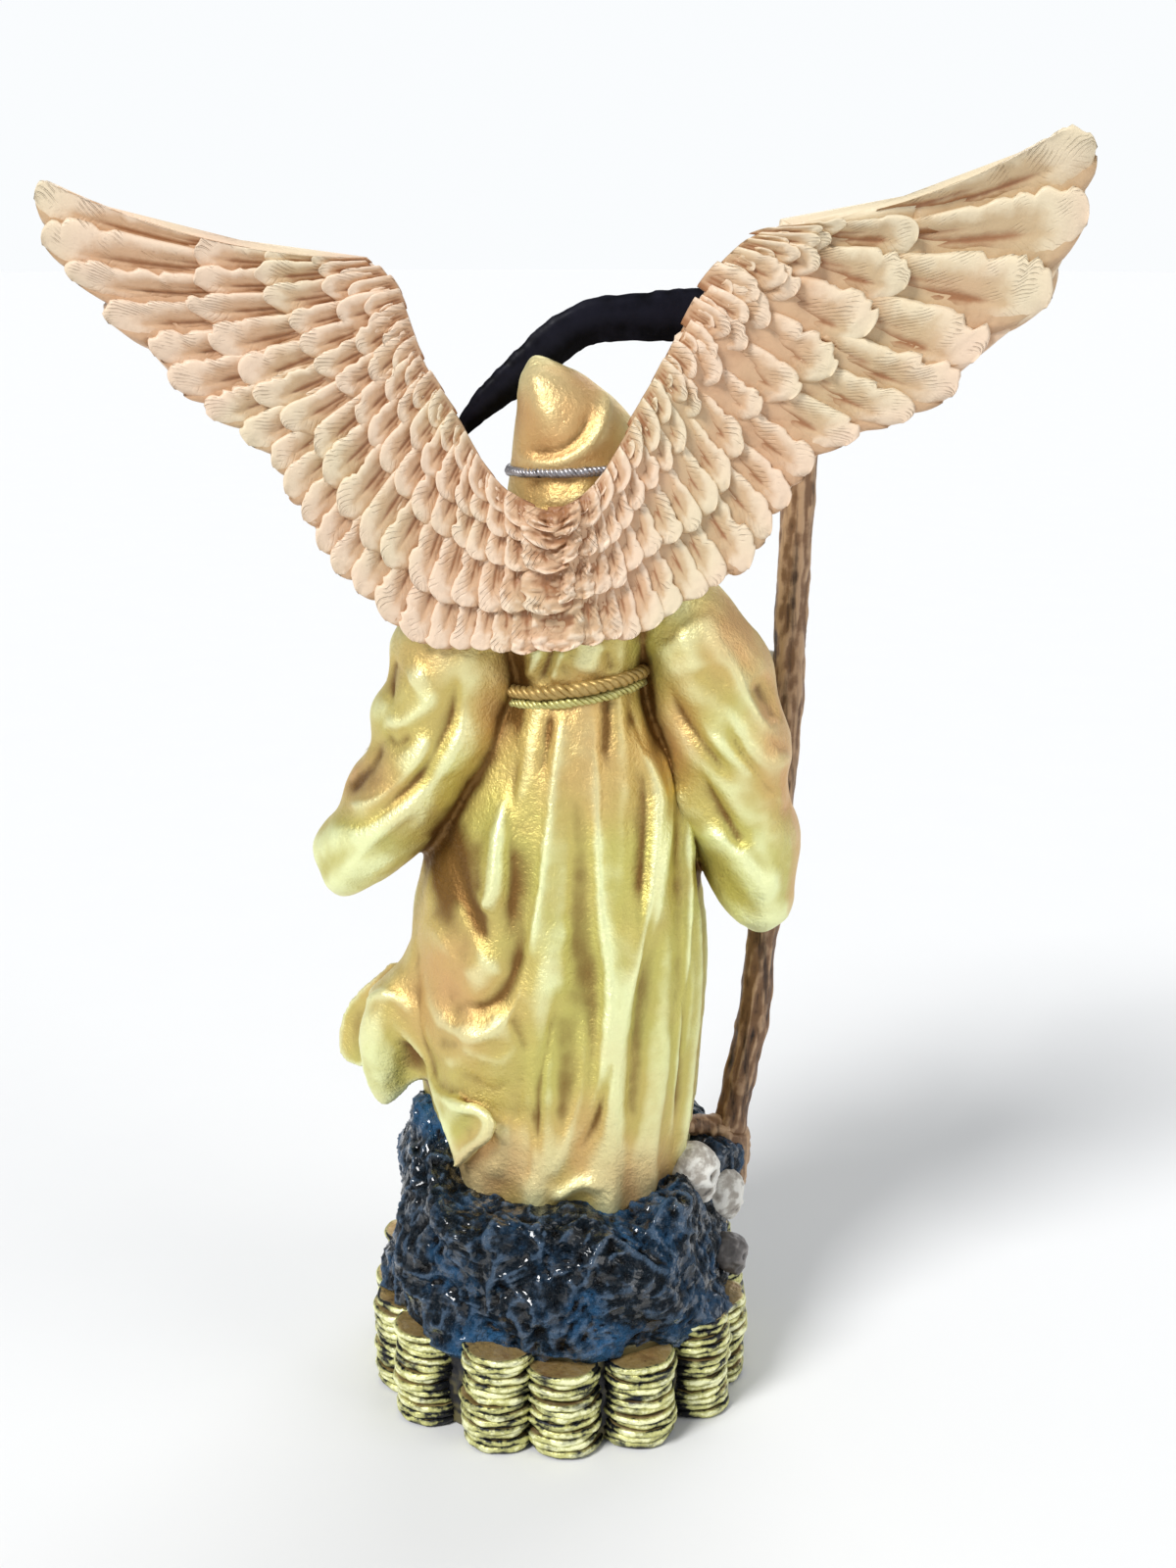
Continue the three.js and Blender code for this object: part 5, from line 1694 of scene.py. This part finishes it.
@dataclass
class Hands:
    """The bony hands: the left held out with its fingers half closed, the right closed round the shaft."""

    finger_radius: float = 1.45
    grip_radius: float = 4.46
    grip_height: float = 113.8
    grip_pitch: float = 3.5
    grip_turn: tuple[float, float] = (-52.0, -150.0)

    def left(self) -> list[Surface]:
        """The wrist and palm, four fingers and a thumb, each finger swollen at its joints."""
        parts = [limb([(40, 0, 92, 6.2), (43, -14, 95, 4.4), (41, -27, 98, 3.4), (38.5, -36, 102.5, 4.3)], 32, 70)]
        for k in range(4):
            root, knuckle, tip = (35 + 2.4 * k, -34.5, 103), (34 + 2.8 * k, -41, 104.5), (33.5 + 3.2 * k, -44, 109.5)
            parts.append(self.finger([root, knuckle, tip], 1.55, 1.15))
        parts.append(self.finger([(36, -31, 102), (31.5, -33.5, 104.5), (30.5, -36.5, 109)], 1.6, 1.2))
        return parts

    def finger(self, stops: Points, thick: float, thin: float) -> Surface:
        """A finger through its joints, with radius (thick to thin) x (1 + 0.16 cos(4 pi t))."""
        t = np.linspace(0, 1, 44)
        ends = np.sqrt(np.clip(1 - np.abs(2 * t - 1) ** 10, 0.05, 1))
        radius = (thick + (thin - thick) * t) * (1 + 0.16 * np.cos(4 * math.pi * t)) * ends
        return tube(along(stops, t), radius, 18, (0.3, 0.2, 1))

    def right(self) -> list[Surface]:
        """The wrist, and four fingers that close round the shaft from the front."""
        parts = [limb([(-43, -6, 103, 6.2), (-47, -14, 109, 4.4), (-50, -22, 114, 4.0), (-52, -26, 118, 4.8)], 32, 60)]
        foot, top = np.array(SHAFT_PATH[3], float), np.array(SHAFT_PATH[5], float)
        for k in range(4):
            height = self.grip_height + self.grip_pitch * k
            middle = foot + (top - foot) * (height - foot[2]) / (top[2] - foot[2])
            turn = np.linspace(*np.radians(self.grip_turn), 48)
            arc = middle + ringed(self.grip_radius, turn, 0.9 * np.cos(turn / 2))
            joints = 1 + 0.14 * np.cos(np.linspace(0, 5 * math.pi, 48))
            ends = np.sqrt(np.clip(1 - np.abs(np.linspace(-1, 1, 48)) ** 10, 0.05, 1))
            parts.append(tube(arc, self.finger_radius * joints * ends, 18, (0, 0, 1)))
        return parts

    def build(self) -> None:
        """Makes both hands in one piece."""
        hands = Surface.joined(self.left() + self.right())
        hands.points = drawn(hands.points)
        dress(hands.mark_relief(10, 0.4).made("bony_hands"), BONE)


@dataclass(frozen=True)
class CoinPaint(StreakedPaint):
    """Coin paint: painted highlight on the edges, and browner faces where the "face" kept at the points is 1."""

    face: Triple = (0.36, 0.2, 0.07)
    face_share: float = 0.85

    def colours(self, graph: Graph) -> tuple[object, object, object]:
        """The streaked gold, mixed with the face's brown."""
        base, raised, sunken = super().colours(graph)
        face = graph.times(graph.attribute("face"), self.face_share)
        return graph.mix(face, base, self.face), graph.mix(face, raised, self.face), sunken


# The coins' raised colour is painted highlight and their sunken colour painted shade in the gaps.
COIN_PAINT = CoinPaint(
    "coin_gold_paint", "coin_gold", (0.61, 0.6, 0.23), (1.0, 1.0, 0.6), (0.005, 0.006, 0.01),
    metallic=0.42, smooth=0.26, rough=0.48, patches=800, broken=2.0, bump=0.3,
    streak=(0.012, 0.018, 0.03), stretch=(1, 1, 2.4), scale=140, share=0.6,
)
CORE_PAINT = StreakedPaint(
    "base_core_paint", "coin_gold", (0.02, 0.02, 0.024), (0.14, 0.12, 0.05), (0.008, 0.008, 0.01),
    metallic=0.3, smooth=0.3, rough=0.55, patches=260, broken=1.2, bump=0.2,
    streak=(0.05, 0.045, 0.03), stretch=(1, 1, 2.0), scale=70, share=0.3,
)


@dataclass
class CoinRing:
    """Sixteen stacks of coins round the base, each coin its own disc, a little out of line with the next."""

    angles: tuple[float, ...] = (
        41.7, 70.3, 91.8, 117.0, 143.0, 164.7, 186.3, 207.9,
        229.5, 251.1, 272.7, 294.3, 315.9, 337.5, 359.1, 380.4,
    )
    coins: int = 14
    diameter: float = 17.8
    height: float = COIN_HEIGHT
    profile: Points = rows_field([
        (0.3, 0.0), (0.95, 0.0), (0.975, 0.12), (1.0, 0.36), (1.0, 0.66), (0.98, 0.88), (0.95, 1.0), (0.88, 0.95),
        (0.3, 0.93),
    ])
    slip: float = 0.6
    tilt: float = 0.045
    core_inset: float = 7.2
    core_height: float = 23.5

    def build(self) -> None:
        """Coins as lofts of one profile: radius x share at thickness x level, uneven by smooth noise round each edge.

        Each coin slips sideways and tilts a little, and the stacks differ in how many coins they hold.
        """
        rng = np.random.default_rng(7)
        stack, coin = grid_of(np.arange(len(self.angles)), np.arange(self.coins))
        kept = coin < self.coins - (stack * 2 + 1) % 3 - (stack * 5 % 7 == 1)
        stack, coin = stack[kept], coin[kept]
        count, thick, radius = len(stack), self.height / self.coins, self.diameter / 2
        angle = np.radians(np.asarray(self.angles))[stack]
        out = oval_reach(angle, radius - 1.0) + rng.uniform(-0.7, 0.3, count) - 0.35 * np.sin(coin * 0.8 + stack)
        side = rng.uniform(-self.slip, self.slip, count)
        x = out * np.cos(angle) - side * np.sin(angle)
        y = out * np.sin(angle) + side * np.cos(angle)
        profile = np.asarray(self.profile)
        a = around(44)
        share, level = profile[:, 0, None], profile[:, 1, None]
        key = (np.cos(a) * 2.4 + each(stack) * 5.0, np.sin(a) * 2.4 + each(coin) * 3.0, level * 0.5)
        key = coordinates(*key)
        rough = NOISE.layered(key, 1.0, 3)
        reach = radius * share * (0.975 + 0.04 * rough)
        tilt = rng.uniform(-self.tilt, self.tilt, (count, 2)) * (coin > 0)[:, None]
        px, py = reach * np.cos(a), reach * np.sin(a)
        lift = each(tilt[:, 0]) * px + each(tilt[:, 1]) * py
        z = each(coin * thick) + thick * (0.02 + 0.97 * level) + lift
        z = np.clip(z + 0.35 * NOISE.at(key + 7.0, 0.8) * ramp(level, 0.05, 0.3), 0.0, None)
        grids = np.stack([each(x) + px, each(y) + py, z], -1)
        face = np.broadcast_to(ramp(level, 0.85, 0.93) * ramp(share, 0.99, 0.86), grids.shape[:-1])
        wash = np.clip(NOISE.layered(grids, 9.0, 2), 0, 1)
        between = ramp(np.cos(a - each(angle)), 0.62, 0.2)
        # Painted light and shade: a highlight along each coin's bulge, shade in the gaps between coins and between the
        # stacks. Rough and wash are uneven tone.
        edge = 0.65 - 2.4 * np.abs(level - 0.55) + 0.75 * rough - 0.6 * wash - 0.9 * between
        relief = np.where(face > 0.5, 0.1 + 0.5 * rough, edge)
        coins = Surface.lofts(grids, {"relief": np.clip(relief, -1, 1), "face": face})
        dress(coins.made("coin_stacks"), COIN_PAINT)
        self.build_core()

    def build_core(self) -> None:
        """The dark filling between the stacks: the base's oval, set in and roughened."""
        z, a = grid_of(np.linspace(0.2, self.core_height, 40), around(360))
        reach = oval_reach(a, self.core_inset)
        ring = ringed(reach, a, z)
        ring[..., :2] *= 1 + 0.012 * NOISE.layered(ring, 4.0, 3)[..., None]
        dress(Surface.lofts(ring).mark_relief(16, 0.5).made("base_core"), CORE_PAINT)


@dataclass
class Rock:
    """The black rock: it rises from the coins to the hem, with a crag on the figure's left and a ledge for the scythe.

    Forms are the angle in degrees, the spread in radians and the height or depth. Bared coins are the angle of a
    stack and how far the rock's foot draws back from it.
    """

    foot_height: float = 21.0
    top_end: float = 1.45
    top_run: float = 42.0
    crag_back: float = 5.0
    creases: float = 1.15
    setback: float = 3.5
    shoulder: float = 9.0
    lumps: float = 1.2
    crag: Triple = (-2.0, 0.46, 13.5)
    ledge: Triple = (198.0, 0.3, 3.0)
    dip: Triple = (117.0, 0.24, 5.5)
    hollows: tuple[Triple, ...] = ((168.0, 0.36, 4.0), (0.0, 0.6, 3.2))
    bared_coins: tuple[tuple[float, float], ...] = ((91.8, 3.0), (117.0, 2.6), (70.3, 0.8))

    def form(self, angle: Array, numbers: Triple) -> Array:
        """A bell round one angle, times its height."""
        return numbers[2] * bump(turn_between(angle, math.radians(numbers[0])), numbers[1])

    def build(self) -> None:
        """Rings up the wall and over the top, lumpy by sines, and creased by ridged noise along the normals.

        The wall is the base's oval, set in and leaning in at the shoulder. The top runs in under the robe and
        stays as high as the wall, so that the crag slopes up to the cloth.
        """
        t, a = grid_of(np.linspace(0, self.top_end, 200), around(440))
        wall, over = np.minimum(t, 1), np.maximum(t - 1, 0)
        crag, ledge = self.form(a, self.crag), self.form(a, self.ledge)
        lump = np.sin(3 * a + 5 * t) + np.sin(5 * a - 6 * t + 1) + np.sin(8 * a + 9 * t)
        top = ROCK_TOP + self.lumps * np.sin(4 * a) + crag - ledge - self.form(a, self.dip)
        shoulder = self.shoulder * wall**3 * (1 - 0.2 * crag / self.crag[2] - 0.6 * ledge / self.ledge[2])
        foot = sum(depth * bump(turn_between(a, math.radians(at)), 0.17) for at, depth in self.bared_coins)
        reach = oval_reach(a, self.setback) + self.lumps * lump + ledge - shoulder
        reach = reach - sum(self.form(a, hollow) for hollow in self.hollows) * ramp(wall, 0, 0.2)
        reach = reach - foot * ramp(wall, 0.35, 0.05) - 1.5 * ramp(wall, 0.1, 0.0)
        reach = reach - self.top_run * over
        z = self.foot_height + (top - self.foot_height) * np.sin(wall * math.pi / 2) ** 1.2
        z = z + self.crag_back * np.sin(np.minimum(over / 0.3, 1) * math.pi / 2) * ramp(crag, 1, 6)
        rock = Surface.lofts(ringed(reach, a, z))
        askew = rock.points @ np.array([(0.8, 0.36, -0.48), (-0.6, 0.48, -0.64), (0.0, 0.8, 0.6)])
        warp = askew + 3.2 * np.stack([NOISE.at(askew + 9.0 * k, 9.0) for k in range(3)], -1)
        craggy = self.creases * NOISE.ridged(warp, 8.0, 4) + 0.5 * NOISE.layered(askew, 11.0, 2)
        rock.points = rock.points + (craggy - 0.7)[:, None] * rock.normals()
        dress(rock.mark_relief(18, 0.6).made("black_rock"), ROCK_BLACK)


@dataclass(frozen=True)
class Softbox:
    """A large soft light: the way that it shines from, how wide it looks in degrees, and its strength."""

    name: str
    place: Triple
    spread: float
    strength: float

    def build(self) -> None:
        """The light, turned to the figure."""
        data = bpy.data.lights.new(self.name, "SUN")
        data.energy, data.angle = self.strength, math.radians(self.spread)
        made = bpy.data.objects.new(self.name, data)
        x, y, z = self.place
        made.rotation_euler = (math.atan2(math.hypot(x, y), z), 0, math.atan2(y, x) + math.pi / 2)
        bpy.context.scene.collection.objects.link(made)


@dataclass
class Studio:
    """A pale floor under plain soft light. The floor's rings are radii, in millimetres."""

    pale: Triple = (0.79, 0.79, 0.79)
    floor_rings: tuple[float, ...] = (0.002, 900.0, 8999.0, 9000.0)
    floor_level: float = -0.4
    sky_light: tuple[float, float, float, float] = (0.9, 0.95, 1.0, 0.36)
    sky_seen: tuple[float, float, float, float] = (0.965, 0.985, 1.0, 0.99)
    softboxes: tuple[Softbox, ...] = (
        Softbox("key", (0.75, 0.8, 1.0), 20.0, 2.85),
        Softbox("side", (-1.0, 0.45, 0.5), 40.0, 0.75),
        Softbox("front", (-0.3, -1.0, 0.7), 50.0, 1.2),
    )

    def build(self) -> None:
        """Makes the floor, the lights and the sky."""
        turn = around(96)
        rings = np.array(self.floor_rings)[:, None]
        disc = ringed(rings, turn, self.floor_level)
        floor = Surface.lofts(np.concatenate([disc, disc[::-1] - (0, 0, 2)])).made("floor")
        paper = bpy.data.materials.new("floor_paper")
        paper.use_nodes = True
        graph = Graph(paper.node_tree)
        shade = graph.mix(graph.noise(graph.object_place(), 30.0), self.pale, tuple(0.985 * c for c in self.pale))
        shader = graph.node("BsdfPrincipled", {"Base Color": shade, "Roughness": 0.9, "Specular IOR Level": 0.0})
        graph.node("OutputMaterial", {"Surface": shader.outputs[0]})
        floor.data.materials.append(paper)
        for softbox in self.softboxes:
            softbox.build()
        self.sky()
        bpy.context.scene.view_settings.view_transform = "Standard"

    def sky(self) -> None:
        """A pale world: bright behind the figure, and softer as a light. Each is a colour and a strength."""
        world = bpy.data.worlds.new("sky")
        world.use_nodes = True
        bpy.context.scene.world = world
        graph = Graph(world.node_tree)
        light, seen = (
            graph.node("Background", {"Color": rgba(tone[:3]), "Strength": tone[3]})
            for tone in (self.sky_light, self.sky_seen)
        )
        ray = graph.node("LightPath").outputs["Is Camera Ray"]
        both = graph.node("MixShader", {0: ray, 1: light.outputs[0], 2: seen.outputs[0]})
        graph.node("OutputWorld", {"Surface": both.outputs[0]})


def main() -> None:
    """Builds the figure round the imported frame, piece by piece."""
    logging.basicConfig(level=logging.INFO, format="%(name)s %(message)s")
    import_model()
    VIEW.camera()
    Studio().build()
    GoldCasting().build()
    Girdle().build()
    for wing in (LEFT_WING, RIGHT_WING):
        wing.build()
        wing.build_front()
    WingCore().build()
    Scythe().build()
    RootStub().build()
    Skulls().build()
    Hands().build()
    Rock().build()
    CoinRing().build()


if __name__ == "__main__":
    main()
